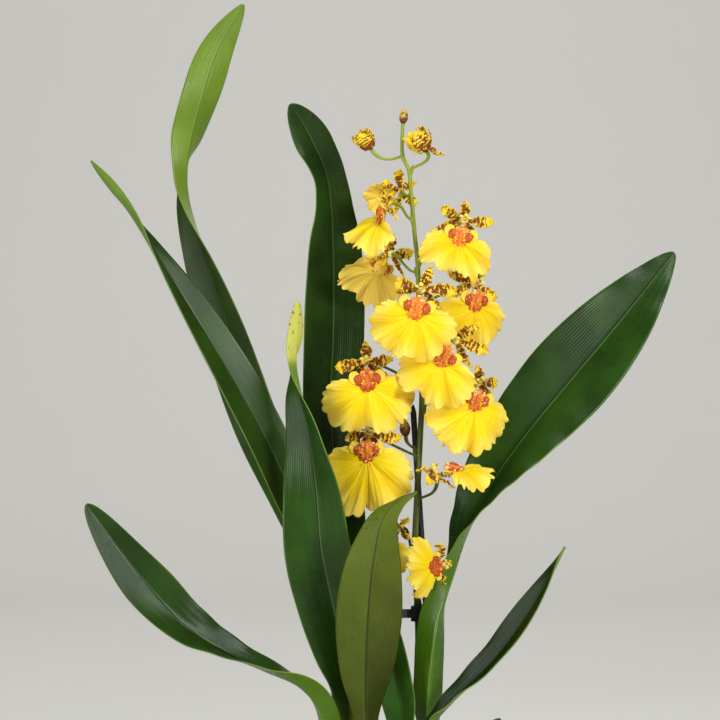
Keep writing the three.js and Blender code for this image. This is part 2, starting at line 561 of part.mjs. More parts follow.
function stemPointAt(z) {
  let low = 0;
  let high = 1;
  while (high - low > 1e-5) {
    const middle = (low + high) / 2;
    if (stemCurve.getPoint(middle).z < z) low = middle;
    else high = middle;
  }
  return stemCurve.getPoint(low);
}

// A flower's stalk: it leaves the stem, bends out, and meets the back of the flower square on.
function stalk(flower, reach) {
  const { name, place, size, from } = flower;
  const facing = new THREE.Vector3().setFromMatrixColumn(flowerFrame(flower), 2).normalize();
  const end = vector(place).addScaledVector(facing, -(reach * size + GAP));
  const start = stemPointAt(from);
  const length = end.distanceTo(start);
  const out = end.clone().sub(start).setZ(0).normalize();
  const rise = (STALK_RISE[name] ?? 0.16) * length;
  const curve = new THREE.CubicBezierCurve3(
    start, start.clone().addScaledVector(out, 0.4 * length).add(new THREE.Vector3(0, 0, rise)),
    end.clone().addScaledVector(facing, -0.42 * length), end,
  );
  const radiusAt = (t) => 0.7 + 0.45 * smooth(0.45, 0.95, t);
  return solidOf(bar(curve, radiusAt, 4, 5));
}

function stemBar(out = 0) {
  const radiusAt = (t) => THREE.MathUtils.lerp(STEM.radius[0], STEM.radius[1], t) + out;
  return solidOf(bar(stemCurve, radiusAt, STEM.steps, STEM.sides));
}

function flowerStem() {
  const stalks = [
    ...BLOOMS.map((bloom) => stalk(bloom, HUB.half)),
    ...BUDS.filter((bud) => bud.from).map((bud) => stalk(bud, 1.4 - bud.open)),
  ];
  const joints = [137, 172].map((z) => {
    const spot = stemPointAt(z);
    return solidOf(ellipsoid([2.5, 2.5, 2.6], spot.toArray(), [8, 5]));
  });
  return joined([stemBar(), ...joints, ...stalks]);
}

// ---------------------------------------------------------------- stake and clip

const stakeLine = new THREE.LineCurve3(vector(STAKE.foot), vector(STAKE.tip));
const stakeAt = (z) => stakeLine.getPoint((z - STAKE.foot[2]) / (STAKE.tip[2] - STAKE.foot[2]));

function stake(out = 0) {
  return solidOf(bar(stakeLine, () => STAKE.radius + out, 1, STAKE.sides));
}

// A small plastic clip: a band round the stem and the stake, with a tab to squeeze.
function clip() {
  const a = stemPointAt(CLIP.z);
  const b = stakeAt(CLIP.z);
  const middle = a.clone().add(b).multiplyScalar(0.5);
  const half = a.distanceTo(b) / 2;
  const turn = Math.atan2(b.y - a.y, b.x - a.x);
  const outline = (radius) => {
    const shape = new THREE.Shape();
    shape.absarc(half, 0, radius, -Math.PI / 2, Math.PI / 2, false);
    shape.absarc(-half, 0, radius, Math.PI / 2, 1.5 * Math.PI, false);
    return shape;
  };
  const inner = 2.1;
  const band = outline(inner + CLIP.wall);
  band.holes.push(outline(inner));
  const ring = new THREE.ExtrudeGeometry(band, { depth: CLIP.height, bevelEnabled: false, curveSegments: 5 })
    .translate(0, 0, -CLIP.height / 2).rotateZ(turn).translate(...middle.toArray());
  const tabs = [-1, 1].map((hand) => solidOf(new THREE.BoxGeometry(...CLIP.tab)
    .translate(-inner - 0.4 * CLIP.tab[0] - 0.4, 0.5 * hand * CLIP.tab[1] * 1.05, 0)
    .rotateZ(hand * 0.16).translate(a.x, a.y, a.z)));
  return largest(joined([solidOf(ring), ...tabs]).subtract(stemBar(GAP + 0.1)).subtract(stake(GAP)));
}

// ---------------------------------------------------------------- the plant

const plant = new THREE.Group();
const add = (name, solid, material) => plant.add(meshOf(name, solid, material));

const bulbRoom = joined(Object.values(BULBS).map((bulb) => solidOf(bulbGeometry(bulb, GAP + 0.1))));

add('clay_pot', pot(), PAINT.clay);

const leafSolids = Object.entries(LEAVES).map(([name, rows]) => {
  const blade = solidOf(plate(leafGrid(rows, LEAF.along, LEAF.across), LEAF.thickness));
  const room = solidOf(plate(leafGrid(rows, LEAF.along, LEAF.across), LEAF.thickness + 2 * GAP + 0.1));
  return { name, blade, room };
});

const sheathSolids = [
  ['left', 140, 58, 0.62], ['right', 128, 56, 0.58], ['back', 70, 64, 0.6],
].map(([name, middle, spread, top]) => ({ name, solid: sheath(BULBS[name], middle, spread, top) }));

let bed = bark().subtract(bulbRoom).subtract(stemBar(GAP + 0.1)).subtract(stake(GAP + 0.1));
for (const { room } of leafSolids) bed = bed.subtract(room);
for (const { solid } of sheathSolids) bed = bed.subtract(solid);
add('bark_chips', largest(bed), PAINT.bark);

for (const [name, bulb] of Object.entries(BULBS)) add(`pseudobulb_${name}`, solidOf(bulbGeometry(bulb)), PAINT.bulb);
for (const { name, solid } of sheathSolids) add(`dry_sheath_${name}`, solid, PAINT.sheath);

leafSolids.forEach(({ name, blade }) => {
  add(`leaf_${name}`, largest(blade.subtract(bulbRoom)), name === 'front_short' ? PAINT.oldLeaf : PAINT.leaf);
});

add('flower_stem', flowerStem(), PAINT.stem);
add('support_stake', stake(), PAINT.plastic);
add('stake_clip', clip(), PAINT.plastic);

BLOOMS.forEach((bloom, k) => {
  const lipFrame = flowerFrame({ ...bloom, roll: bloom.lip[0] });
  add(`bloom_${bloom.name}_tepals`, tepalsAndColumn(bloom.name).transform([...flowerFrame(bloom).elements]), PAINT.tepals);
  add(`bloom_${bloom.name}_lip`, largest(lip(bloom.lip, 1.7 * k)).transform([...lipFrame.elements]), PAINT.lip);
});
for (const bud of BUDS) add(`bud_${bud.name}`, budSolid(bud).transform([...flowerFrame(bud).elements]), PAINT.bud);

export default plant;
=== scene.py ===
# A dancing-lady orchid in a clay pot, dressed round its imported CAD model.
# Shapes are worked out in millimetres and turned into metres when a mesh is made.
import math
import random

import bpy
import numpy as np
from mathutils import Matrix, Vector


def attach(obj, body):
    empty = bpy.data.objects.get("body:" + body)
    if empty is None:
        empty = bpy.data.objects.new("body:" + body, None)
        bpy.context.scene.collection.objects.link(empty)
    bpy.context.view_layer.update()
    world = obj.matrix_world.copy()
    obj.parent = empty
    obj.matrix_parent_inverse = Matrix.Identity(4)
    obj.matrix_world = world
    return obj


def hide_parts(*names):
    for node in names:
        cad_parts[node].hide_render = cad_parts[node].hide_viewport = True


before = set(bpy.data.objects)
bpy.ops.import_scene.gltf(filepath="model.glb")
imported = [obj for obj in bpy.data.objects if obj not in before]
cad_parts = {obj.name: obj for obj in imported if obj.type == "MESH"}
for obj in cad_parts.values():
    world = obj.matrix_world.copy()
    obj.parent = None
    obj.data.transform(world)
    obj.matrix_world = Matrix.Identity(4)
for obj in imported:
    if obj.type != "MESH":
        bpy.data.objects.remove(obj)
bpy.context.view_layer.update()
mm = 0.001

# ---- small tools for numbers and meshes


def colour(code):
    # "rrggbb" as it looks on a screen, to the linear colour that shaders want
    parts = [int(code[k:k + 2], 16) / 255 for k in (0, 2, 4)]
    return [p / 12.92 if p < 0.04045 else ((p + 0.055) / 1.055) ** 2.4 for p in parts] + [1.0]


def smooth(low, high, x):
    t = np.clip((x - low) / (high - low), 0, 1)
    return t * t * (3 - 2 * t)


def unit(v):
    return v / np.maximum(np.linalg.norm(v, axis=-1, keepdims=True), 1e-9)


def circle(count):
    # angles once round
    return np.linspace(0, 2 * np.pi, count, endpoint=False)


def stacked(*parts):
    # grids that broadcast together, side by side on a last axis
    return np.stack(np.broadcast_arrays(*parts), -1)


def turned(x, y, z, degrees):
    # points turned about the upright axis
    c, s = math.cos(math.radians(degrees)), math.sin(math.radians(degrees))
    return stacked(x * c - y * s, x * s + y * c, z)


def ringAt(radius, z, count, centre=(0, 0)):
    a = circle(count)
    return stacked(centre[0] + radius * np.cos(a), centre[1] + radius * np.sin(a), z)


def linked(name, data):
    # a new object in the scene
    made = bpy.data.objects.new(name, data)
    bpy.context.scene.collection.objects.link(made)
    return made


def rowAt(rows, u):
    # smooth rows of numbers through a table, u from 0 to 1
    table = np.asarray(rows, float)
    last = len(table) - 1
    s = np.clip(np.asarray(u, float), 0, 1) * last
    k = np.minimum(np.floor(s).astype(int), last - 1)
    f = (s - k)[:, None]
    b, d = table[k], table[k + 1]
    a = np.where((k > 0)[:, None], table[np.maximum(k - 1, 0)], 2 * b - d)
    e = np.where((k + 2 <= last)[:, None], table[np.minimum(k + 2, last)], 2 * d - b)
    return b + 0.5 * f * (d - a + f * (2 * a - 5 * b + 4 * d - e + f * (3 * (b - d) + e - a)))


class Shells:
    # gathers closed shells in millimetres and makes one mesh object of them

    def __init__(self):
        self.points, self.faces, self.uv, self.slots, self.marks = [], [], [], [], {}
        self.count = 0

    def add(self, points, faces, uv=None, slot=0, **marks):
        points = np.asarray(points, float).reshape(-1, 3)
        n = len(points)
        self.points.append(points)
        self.faces += (np.asarray(faces) + self.count).tolist()
        self.slots += [slot] * len(faces)
        self.uv.append(np.zeros((n, 2)) if uv is None else np.asarray(uv, float).reshape(-1, 2))
        for name in set(self.marks) | set(marks):
            store = self.marks.setdefault(name, [np.zeros(self.count)] if self.count else [])
            store.append(np.broadcast_to(np.asarray(marks.get(name, 0.0), float), (n,)))
        self.count += n

    def plate(self, grid, thickness, uv, slot=0, place=None, **marks):
        # a closed plate on a grid of midsurface points; marks back is 1 on its minus side
        rows, cols = grid.shape[:2]
        normal = unit(np.cross(np.gradient(grid, axis=0), np.gradient(grid, axis=1)))
        half = np.broadcast_to(np.asarray(thickness, float), (rows, cols))[..., None] / 2
        points = np.concatenate([(grid + side * normal * half).reshape(-1, 3) for side in (1, -1)])
        if place is not None:
            points = place(points)
        n = rows * cols
        i, j = np.mgrid[0:rows - 1, 0:cols - 1]
        a = (i * cols + j).ravel()
        quads = [np.stack([a, a + cols, a + cols + 1, a + 1], 1),
                 np.stack([a, a + 1, a + cols + 1, a + cols], 1) + n]
        up, over = np.arange(rows - 1) * cols, np.arange(cols - 1)
        end, far = up + cols - 1, over + (rows - 1) * cols
        quads += [np.stack([up, up + n, up + cols + n, up + cols], 1),
                  np.stack([end, end + cols, end + cols + n, end + n], 1),
                  np.stack([over, over + 1, over + 1 + n, over + n], 1),
                  np.stack([far, far + n, far + 1 + n, far + 1], 1)]
        both = {name: np.tile(np.broadcast_to(value, (rows, cols)).ravel(), 2)
                for name, value in marks.items()}
        both["back"] = np.repeat([0.0, 1.0], n)
        self.add(points, np.concatenate(quads), np.tile(uv.reshape(-1, 2), (2, 1)), slot, **both)

    def skin(self, rings, slot=0, place=None, **marks):
        # a closed skin over rings of points, with a fan of faces at each end
        count, sides = rings.shape[:2]
        points = np.concatenate([rings.reshape(-1, 3), rings[0].mean(0)[None], rings[-1].mean(0)[None]])
        if place is not None:
            points = place(points)
        i, j = np.mgrid[0:count - 1, 0:sides]
        a, b = (i * sides + j).ravel(), (i * sides + (j + 1) % sides).ravel()
        quads = np.stack([a, b, b + sides, a + sides], 1).tolist()
        k = np.arange(sides)
        first, last = count * sides, count * sides + 1
        caps = np.stack([np.roll(k, -1), k, np.full(sides, first)], 1).tolist()
        base = (count - 1) * sides
        caps += np.stack([k + base, np.roll(k, -1) + base, np.full(sides, last)], 1).tolist()
        v, u = np.mgrid[0:count, 0:sides]
        uv = np.stack([u.ravel() / sides, v.ravel() / (count - 1)], 1)
        uv = np.concatenate([uv, [[0.5, 0], [0.5, 1]]])
        marks = {name: np.concatenate([np.broadcast_to(value, (count, sides)).ravel(),
                                       [np.mean(value)] * 2]) for name, value in marks.items()}
        start = self.count
        self.add(points, quads, uv, slot, **marks)
        self.faces += [[p + start for p in face] for face in caps]
        self.slots += [slot] * len(caps)

    def make(self, name, materials):
        mesh = bpy.data.meshes.new(name)
        mesh.from_pydata((np.concatenate(self.points) * mm).tolist(), [], self.faces)
        for material in materials:
            mesh.materials.append(material)
        mesh.polygons.foreach_set("material_index", self.slots)
        mesh.polygons.foreach_set("use_smooth", [True] * len(mesh.polygons))
        corner = np.zeros(len(mesh.loops), np.int32)
        mesh.loops.foreach_get("vertex_index", corner)
        mesh.uv_layers.new(name="UVMap").data.foreach_set("uv", np.concatenate(self.uv)[corner].ravel())
        for mark, values in self.marks.items():
            layer = mesh.attributes.new(mark, "FLOAT", "POINT")
            layer.data.foreach_set("value", np.concatenate(values).astype(np.float32))
        mesh.update()
        return linked(name, mesh)


def ball(radii, centre=(0, 0, 0), around=20, rings=12):
    # rings of points on an ellipsoid, from its low pole to its high one
    t = np.linspace(-0.5 * np.pi + 0.08, 0.5 * np.pi - 0.08, rings)[:, None]
    a = circle(around)[None, :]
    return stacked(np.cos(t) * np.cos(a), np.cos(t) * np.sin(a), np.sin(t)) * radii + centre


def tilted(points, angle):
    # turned about X, by an angle in radians
    c, s = math.cos(angle), math.sin(angle)
    return points @ np.array([[1, 0, 0], [0, c, -s], [0, s, c]]).T


def dress(piece, slot, *nodes):
    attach(piece, "root")
    if nodes:
        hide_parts(*nodes)


# ---- node trees, for shaders and for geometry


class Signal:
    # an output socket that can be used in sums

    def __init__(self, tree, socket):
        self.tree, self.socket = tree, socket

    def sum(self, operation, first, second=0.0):
        return self.tree.node("ShaderNodeMath", {"operation": operation}, {0: first, 1: second})

    def __add__(self, other):
        return self.sum("ADD", self, other)

    __radd__ = __add__

    def __sub__(self, other):
        return self.sum("SUBTRACT", self, other)

    def __rsub__(self, other):
        return self.sum("SUBTRACT", other, self)

    def __mul__(self, other):
        return self.sum("MULTIPLY", self, other)

    def stripes(self):
        # waves between 0 and 1
        return self.sum("SINE", self) * 0.5 + 0.5

    def size(self):
        return self.sum("ABSOLUTE", self)

    def ramp(self, low, high):
        # 0 below low, 1 above high, smooth in between
        return self.tree.node("ShaderNodeMapRange", {"interpolation_type": "SMOOTHSTEP"},
                              {"Value": self, "From Min": low, "From Max": high})

    def fade(self, low, high):
        return 1 - self.ramp(low, high)


class Tree:
    def __init__(self, tree):
        self.tree = tree

    def node(self, kind, settings=None, sockets=None, out=None):
        made = self.tree.nodes.new(kind)
        for key, value in (settings or {}).items():
            setattr(made, key, value)
        for key, value in (sockets or {}).items():
            target = made.inputs[key] if isinstance(key, int) else next(
                s for s in made.inputs if s.name == key and s.enabled)
            if isinstance(value, Signal):
                self.tree.links.new(value.socket, target)
            else:
                target.default_value = value
        if not made.outputs:
            return made
        if out is None:
            return Signal(self, next(s for s in made.outputs if s.enabled))
        return Signal(self, made.outputs[out])


class Paint(Tree):

    def __init__(self, name):
        self.material = bpy.data.materials.new(name)
        self.material.use_nodes = True
        super().__init__(self.material.node_tree)
        self.tree.nodes.clear()

    def where(self):
        return self.node("ShaderNodeTexCoord", out="Object")

    def uv(self):
        at = self.node("ShaderNodeTexCoord", out="UV")
        u = self.node("ShaderNodeSeparateXYZ", None, {"Vector": at}, 0)
        return u, Signal(self, u.socket.node.outputs[1])

    def height(self):
        return self.node("ShaderNodeSeparateXYZ", None, {"Vector": self.where()}, 2)

    def mark(self, name):
        return self.node("ShaderNodeAttribute", {"attribute_name": name}, None, "Fac")

    def noise(self, scale, at=None, detail=3.0, rough=0.55):
        return self.node("ShaderNodeTexNoise", None, {
            "Vector": at or self.where(), "Scale": scale, "Detail": detail, "Roughness": rough}, "Fac")

    def flatNoise(self, x, y, **settings):
        return self.noise(1, self.node("ShaderNodeCombineXYZ", None, {"X": x, "Y": y}), **settings)

    def grain(self, scales, **settings):
        # noise with a scale of its own along X, Y and Z
        at = self.node("ShaderNodeVectorMath", {"operation": "MULTIPLY"}, {0: self.where(), 1: scales})
        return self.noise(1, at, **settings)

    def mix(self, share, first, second):
        # colours as "rrggbb" codes or as signals
        given = [colour(c) if isinstance(c, str) else c for c in (first, second)]
        return self.node("ShaderNodeMix", {"data_type": "RGBA"}, {0: share, 6: given[0], 7: given[1]}, 2)

    def over(self, base, *layers):
        # colours laid over a base one by one, each by its share
        for share, tone in layers:
            base = self.mix(share, base, tone)
        return base

    def finish(self, base, rough=0.5, bump=None, depth=0.3, fine=0.001, **constant):
        sockets = {"Base Color": colour(base) if isinstance(base, str) else base, "Roughness": rough}
        if bump is not None:
            sockets["Normal"] = self.node("ShaderNodeBump", None, {
                "Strength": depth, "Distance": fine, "Height": bump})
        sockets.update({key.replace("_", " "): value for key, value in constant.items()})
        shader = self.node("ShaderNodeBsdfPrincipled", None, sockets)
        self.node("ShaderNodeOutputMaterial", None, {"Surface": shader})
        return self.material


class Growth(Tree):
    # one geometry tree with named inputs; run() turns an object into a plain mesh

    def __init__(self, name, **inputs):
        group = bpy.data.node_groups.new(name, "GeometryNodeTree")
        super().__init__(group)
        group.interface.new_socket("Geometry", in_out="INPUT", socket_type="NodeSocketGeometry")
        group.interface.new_socket("Geometry", in_out="OUTPUT", socket_type="NodeSocketGeometry")
        for key, value in inputs.items():
            kind = "NodeSocketInt" if isinstance(value, int) else "NodeSocketFloat"
            group.interface.new_socket(key, in_out="INPUT", socket_type=kind).default_value = value
        self.inputs = group.nodes.new("NodeGroupInput")

    def given(self, name="Geometry"):
        return Signal(self, self.inputs.outputs[name])

    def random(self, low, high, seed):
        return self.node("FunctionNodeRandomValue", {"data_type": "FLOAT"},
                         {"Min": low, "Max": high, "Seed": seed}, 1)

    def random3(self, *rows):
        return self.node("ShaderNodeCombineXYZ", None, {
            axis: self.random(*row) for axis, row in zip("XYZ", rows)})

    def scattered(self, densest, copy, mark, seed, **placing):
        # copies all over the given mesh, each with a random mark from 0 to 1
        spots = self.node("GeometryNodeDistributePointsOnFaces", {"distribute_method": "POISSON"}, {
            "Mesh": self.given(), "Distance Min": self.given("Spacing"), "Density Max": densest,
            "Seed": self.given("Seed")})
        copies = self.node("GeometryNodeInstanceOnPoints", None, {
            "Points": spots, "Instance": copy, **placing})
        return self.node("GeometryNodeStoreNamedAttribute", {"data_type": "FLOAT", "domain": "INSTANCE"}, {
            "Geometry": copies, "Name": mark, "Value": self.random(0.0, 1.0, seed)})

    def end(self, geometry, material):
        solid = self.node("GeometryNodeRealizeInstances", None, {"Geometry": geometry})
        painted = self.node("GeometryNodeSetMaterial", None, {"Geometry": solid, "Material": material})
        shaded = self.node("GeometryNodeSetShadeSmooth", None, {"Geometry": painted})
        self.node("NodeGroupOutput", None, {"Geometry": shaded})

    def run(self, piece, name, **inputs):
        modifier = piece.modifiers.new("growth", "NODES")
        modifier.node_group = self.tree
        for item in self.tree.interface.items_tree:
            if item.item_type == "SOCKET" and item.name in inputs:
                modifier[item.identifier] = inputs[item.name]
        evaluated = piece.evaluated_get(bpy.context.evaluated_depsgraph_get())
        mesh = bpy.data.meshes.new_from_object(evaluated)
        bpy.data.objects.remove(piece)
        mesh.name = name
        return linked(name, mesh)


# ---- camera, floor and light

stage = {
    "eye": (-11.5, -1380.0, 320.6), "lens": 150.0, "floor": "d9d7d2", "front": -6000.0, "below": 0.4,
    "wallAt": 2600.0, "wallBend": 900.0, "bendSteps": 16, "wallTop": 5000.0, "width": 12000.0,
    "sky": (0.93, 0.97, 1.0, 1), "skyPower": 0.17,
}
lamps = {  # place, aim, size in mm, and power in watts
    "key": ((900, -1250, 850), (0, 0, 290), 500, 22),
    "fill": ((-1000, -1150, 420), (0, 0, 270), 700, 13),
    "top": ((-100, -100, 1500), (0, 0, 250), 800, 3.5),
    "back": ((500, 1100, 900), (0, 0, 300), 500, 1.5),
    "wall": ((0, 1700, 2600), (0, 3500, 500), 2000, 33),
    "floor": ((0, 900, 2600), (0, 1500, 0), 2000, 14),
}


def makeCamera(value):
    camera = linked("camera", bpy.data.cameras.new("camera"))
    camera.data.lens = value["lens"]
    camera.data.clip_end = 50
    camera.location = Vector(value["eye"]) * mm
    camera.rotation_euler = (math.radians(90), 0, 0)
    bpy.context.scene.camera = camera


def makeFloor(value):
    # the floor runs back and bends up into a wall
    wallAt, bend, steps, half = value["wallAt"], value["wallBend"], value["bendSteps"], value["width"] / 2
    profile = [(value["front"], 0.0), (wallAt, 0.0)]
    for k in range(1, steps + 1):
        a = k / steps * math.pi / 2
        profile.append((wallAt + bend * math.sin(a), bend * (1 - math.cos(a))))
    profile.append((wallAt + bend, value["wallTop"]))
    points = [(x * mm, y * mm, (z - value["below"]) * mm) for y, z in profile for x in (-half, half)]
    faces = [(2 * k, 2 * k + 1, 2 * k + 3, 2 * k + 2) for k in range(len(profile) - 1)]
    mesh = bpy.data.meshes.new("floor")
    mesh.from_pydata(points, [], faces)
    mesh.polygons.foreach_set("use_smooth", [True] * len(faces))
    mesh.materials.append(Paint("pale floor").finish(value["floor"], 0.8))
    floor = linked("floor", mesh)


def makeLight(value):
    bpy.context.scene.view_settings.view_transform = "Standard"
    world = bpy.data.worlds.new("studio")
    bpy.context.scene.world = world
    world.use_nodes = True
    world.node_tree.nodes["Background"].inputs[0].default_value = value["sky"]
    world.node_tree.nodes["Background"].inputs[1].default_value = value["skyPower"]
    for name, (place, aim, size, power) in lamps.items():
        light = bpy.data.lights.new(name, "AREA")
        light.size = size * mm
        light.energy = power
        lamp = linked(name, light)
        lamp.location = Vector(place) * mm
        lamp.rotation_euler = (Vector(aim) - Vector(place)).to_track_quat("-Z", "Y").to_euler()


makeCamera(stage)
makeFloor(stage)
makeLight(stage)
print("stage ready")

# ---- materials


def leafPaint():
    paint = Paint("leaf")
    u, v = paint.uv()  # u along the blade, v across it
    back, old, dry, deep = (paint.mark(name) for name in ("back", "old", "dry", "deep"))
    across = (v - 0.5) * 2
    off = across.size()  # 0 at the midrib, 1 at the edges
    wander = paint.noise(9, detail=2)
    veins = (v * 190 + wander * 5).stripes()
    broad = (v * 46 + wander * 3).stripes()
    cloud = paint.noise(38, detail=4)
    patch = cloud.ramp(0.3, 0.75)
    # painted shade: the midrib is painted dark, as if shaded in its groove
    rib = off.fade(0.0, 0.03)
    # painted highlight: a thin pale line beside the midrib, a glint along the groove
    ribGlint = (across - 0.06).size().fade(0.0, 0.04)
    upper = paint.over(paint.mix(patch, "163105", "2a4f0a"), (veins * 0.12, "4b7a1c"), (deep, "0b1a02"))
    under = paint.over(paint.mix(patch, "4f6c12", "688420"),
                       (veins * 0.18, "8fae48"), (u.fade(0.25, 0.75) * 0.85, "365a04"))
    green = paint.over(
        paint.mix(back, under, upper),
        # a darker band along the midrib and the dark midrib line: painted shade in the fold
        (off.fade(0.0, 0.22) * 0.4, paint.mix(back, "4b7410", "0d2402")),
        (rib * 0.75, paint.mix(back, "4f7418", "0a1a02")),
        (ribGlint * 0.3, paint.mix(back, "a5bc66", "6a8f48")),
        (off.ramp(0.965, 0.998) * 0.35, "7d9c2c"))
    speck = paint.noise(620, detail=2, rough=0.7).ramp(0.6, 0.68) * paint.noise(60).ramp(0.4, 0.55)
    olive = paint.over(
        paint.mix((cloud * 0.7 + u * 0.8).ramp(0.5, 1.15), "1e2802", "505f08"),
        # one half of the old blade is painted lighter (painted light) and its midrib darker (painted shade)
        (across.ramp(-0.1, 0.1) * 0.3, "5f7414"), (veins * 0.16, "7a8520"),
        (speck * 0.75, "4a2c0c"), (off.fade(0.0, 0.05) * 0.85, "1d2604"))
    straw = paint.mix(paint.noise(420, detail=3).ramp(0.6, 0.7), "b4b750", "7a6428")
    base = paint.over(green, (old, olive), (dry, straw), (u.fade(0.0, 0.12) * 0.35, "8ea046"))
    rough = 0.22 + cloud * 0.12 + old * 0.24 + dry * 0.3
    relief = veins * 0.35 + broad * 0.3 + rib * -0.8 + cloud * 0.25
    return paint.finish(base, rough, relief, 0.3, 0.0006, Specular_IOR_Level=0.22)


def lipPaint():
    paint = Paint("lip")
    u, v = paint.uv()  # u round the blade, v from its waist to its edge
    back, valley = paint.mark("back"), paint.mark("valley")
    wander = paint.noise(60, detail=2)
    ray = paint.flatNoise(u * 110 + wander * 0.8, v * 1.6, detail=2)
    fine = (u * 640 + wander * 6).stripes()
    spot = paint.noise(620, detail=2, rough=0.6).ramp(0.54, 0.6)
    base = paint.over(
        paint.mix(ray.ramp(0.3, 0.72), "ecc900", "f4d322"),
        # darker yellow in the fold valleys is painted shade
        # paler towards the rim: painted highlight for the brightly lit rim
        (v.ramp(0.5, 1.0) * 0.6, "f9dd74"), (valley * 0.6, "deb400"), (back * 0.65, "dcc05c"),
        (v.fade(0.08, 0.2) * (1 - back) * spot * 0.8, "d8601c"))
    return paint.finish(base, 0.55, ray * 1.2 + fine * 0.25, 0.3, 0.0006,
                        Subsurface_Weight=0.25, Subsurface_Scale=0.0015, Specular_IOR_Level=0.14)


def callusPaint():
    paint = Paint("callus")
    wart, warm = paint.mark("wart"), paint.mark("warm")
    blotch = paint.noise(430, detail=3)
    # the lumps' own redness, plus painted shade that makes shaded blooms' calluses darker red
    heatAndShade = warm + (blotch - 0.5) * 1.3 + (wart.ramp(0.3, 0.7) - 0.5) * -0.35
    squiggle = (blotch * 42).stripes().ramp(0.72, 0.86)
    base = paint.over(
        paint.mix(heatAndShade.ramp(0.12, 0.4), "fae6a4", "f28c24"),
        (heatAndShade.ramp(0.6, 1.05), "b54806"), (squiggle * warm.fade(0.2, 0.7) * 0.8, "a8400c"),
        (wart.ramp(0.86, 0.9) * 0.75, "fbe39a"))
    return paint.finish(base, 0.42, blotch, 0.3, 0.0004, Subsurface_Weight=0.1, Subsurface_Scale=0.0015)


def tepalPaint():
    paint = Paint("mottled petal")
    u, v = paint.uv()  # u is 1 at 12 mm along the petal, v is 1 for 8 mm across it
    rim, back = paint.mark("rim"), paint.mark("back")
    wander = paint.noise(520, detail=3, rough=0.65)
    bars = (u * 42 + wander * 14).stripes()
    amount = 0.74 - rim * 0.5 - u * 0.3 + (paint.noise(430, detail=2) - 0.5) * 1.9
    stain = (bars * 0.6 + amount).ramp(0.62, 0.76)
    base = paint.over(
        paint.mix(paint.noise(200).ramp(0.3, 0.7), "eabf08", "f9da22"), (back * 0.35, "c9a832"),
        (stain * 0.93, paint.mix(paint.noise(500).ramp(0.4, 0.65), "54120c", "822a12")))
    relief = (v * 60).stripes() * 0.6 + stain * -0.4
    return paint.finish(base, 0.5, relief, 0.3, 0.0004,
                        Subsurface_Weight=0.08, Subsurface_Scale=0.001, Specular_IOR_Level=0.3)


def columnPaint():
    paint = Paint("column")
    spot = paint.noise(520, detail=2).ramp(0.55, 0.61)
    base = paint.over(
        paint.mix(paint.noise(300).ramp(0.35, 0.6), "f4e48e", "e2c434"),
        (spot * 0.85, "9c3414"), (paint.mark("cap"), "d8cc4c"),
        # the hollow under the cap is painted dark brown: painted shadow
        (paint.mark("pit").ramp(0.35, 0.8), "43310c"))
    return paint.finish(base, 0.4, spot, 0.1, 0.0003)


def budPaint():
    paint = Paint("bud")
    v = paint.uv()[1]  # up the bud
    wander = paint.noise(420, detail=4, rough=0.65)
    bars = (v * 22 + wander * 26).stripes()
    stain = (bars * 0.8 + (1 - v) * 1.1 + wander * 0.5).ramp(1.0, 1.2)
    base = paint.over(
        paint.mix(v.ramp(0.1, 0.8), "6d7226", "dcbb34"),
        (stain * 0.9, paint.mix(wander.ramp(0.4, 0.6), "4d1c0e", "7a3517")))
    return paint.finish(base, 0.45, bars, 0.25, 0.0004, Specular_IOR_Level=0.35)


def stemPaint():
    paint = Paint("stem")
    streak = paint.grain((900.0, 900.0, 40.0))
    base = paint.over(paint.mix(paint.height().ramp(0.25, 0.42), "2e3e08", "86961a"),
                      (streak.ramp(0.35, 0.75) * 0.3, "97a53c"))
    return paint.finish(base, 0.42, streak, 0.2, 0.0003, Specular_IOR_Level=0.3)


def bulbPaint():
    paint = Paint("pseudobulb")
    u, v = paint.uv()  # u round the bulb, v up it
    wander = paint.noise(45, detail=3)
    ribs = (u * 150 + wander * 4).stripes()
    base = paint.over(
        paint.mix(wander.ramp(0.3, 0.7), "5c7a24", "84993d"),
        (ribs * 0.25, "a8b565"), (v.fade(0.05, 0.35) * 0.6, "8a7a43"),
        (paint.noise(600, detail=3).ramp(0.64, 0.72) * 0.5, "5b4a21"))
    return paint.finish(base, 0.4, ribs * 0.6 + wander, 0.5, 0.0008)


def sheathPaint():
    paint = Paint("dry sheath")
    u, v = paint.uv()  # u up the sheath, v round it
    fibre = paint.flatNoise(u * 9, v * 95, detail=4)
    base = paint.over(paint.mix(fibre.ramp(0.3, 0.7), "8d7444", "d3be8d"),
                      (paint.noise(60).ramp(0.55, 0.8) * 0.6, "5a4324"))
    return paint.finish(base, 0.85, fibre, 0.6, 0.0006)


def barkPaint():
    paint = Paint("bark")
    grain = paint.grain((140.0, 420.0, 420.0), detail=5, rough=0.7)
    base = paint.over(
        paint.mix(paint.mark("tint"), "4a2f1d", "8a5f3e"),
        (grain.ramp(0.35, 0.65) * 0.75, "2c1b11"), (paint.noise(260).ramp(0.6, 0.75) * 0.5, "a88762"))
    return paint.finish(base, 0.93, grain, 0.9, 0.0012, Specular_IOR_Level=0.2)


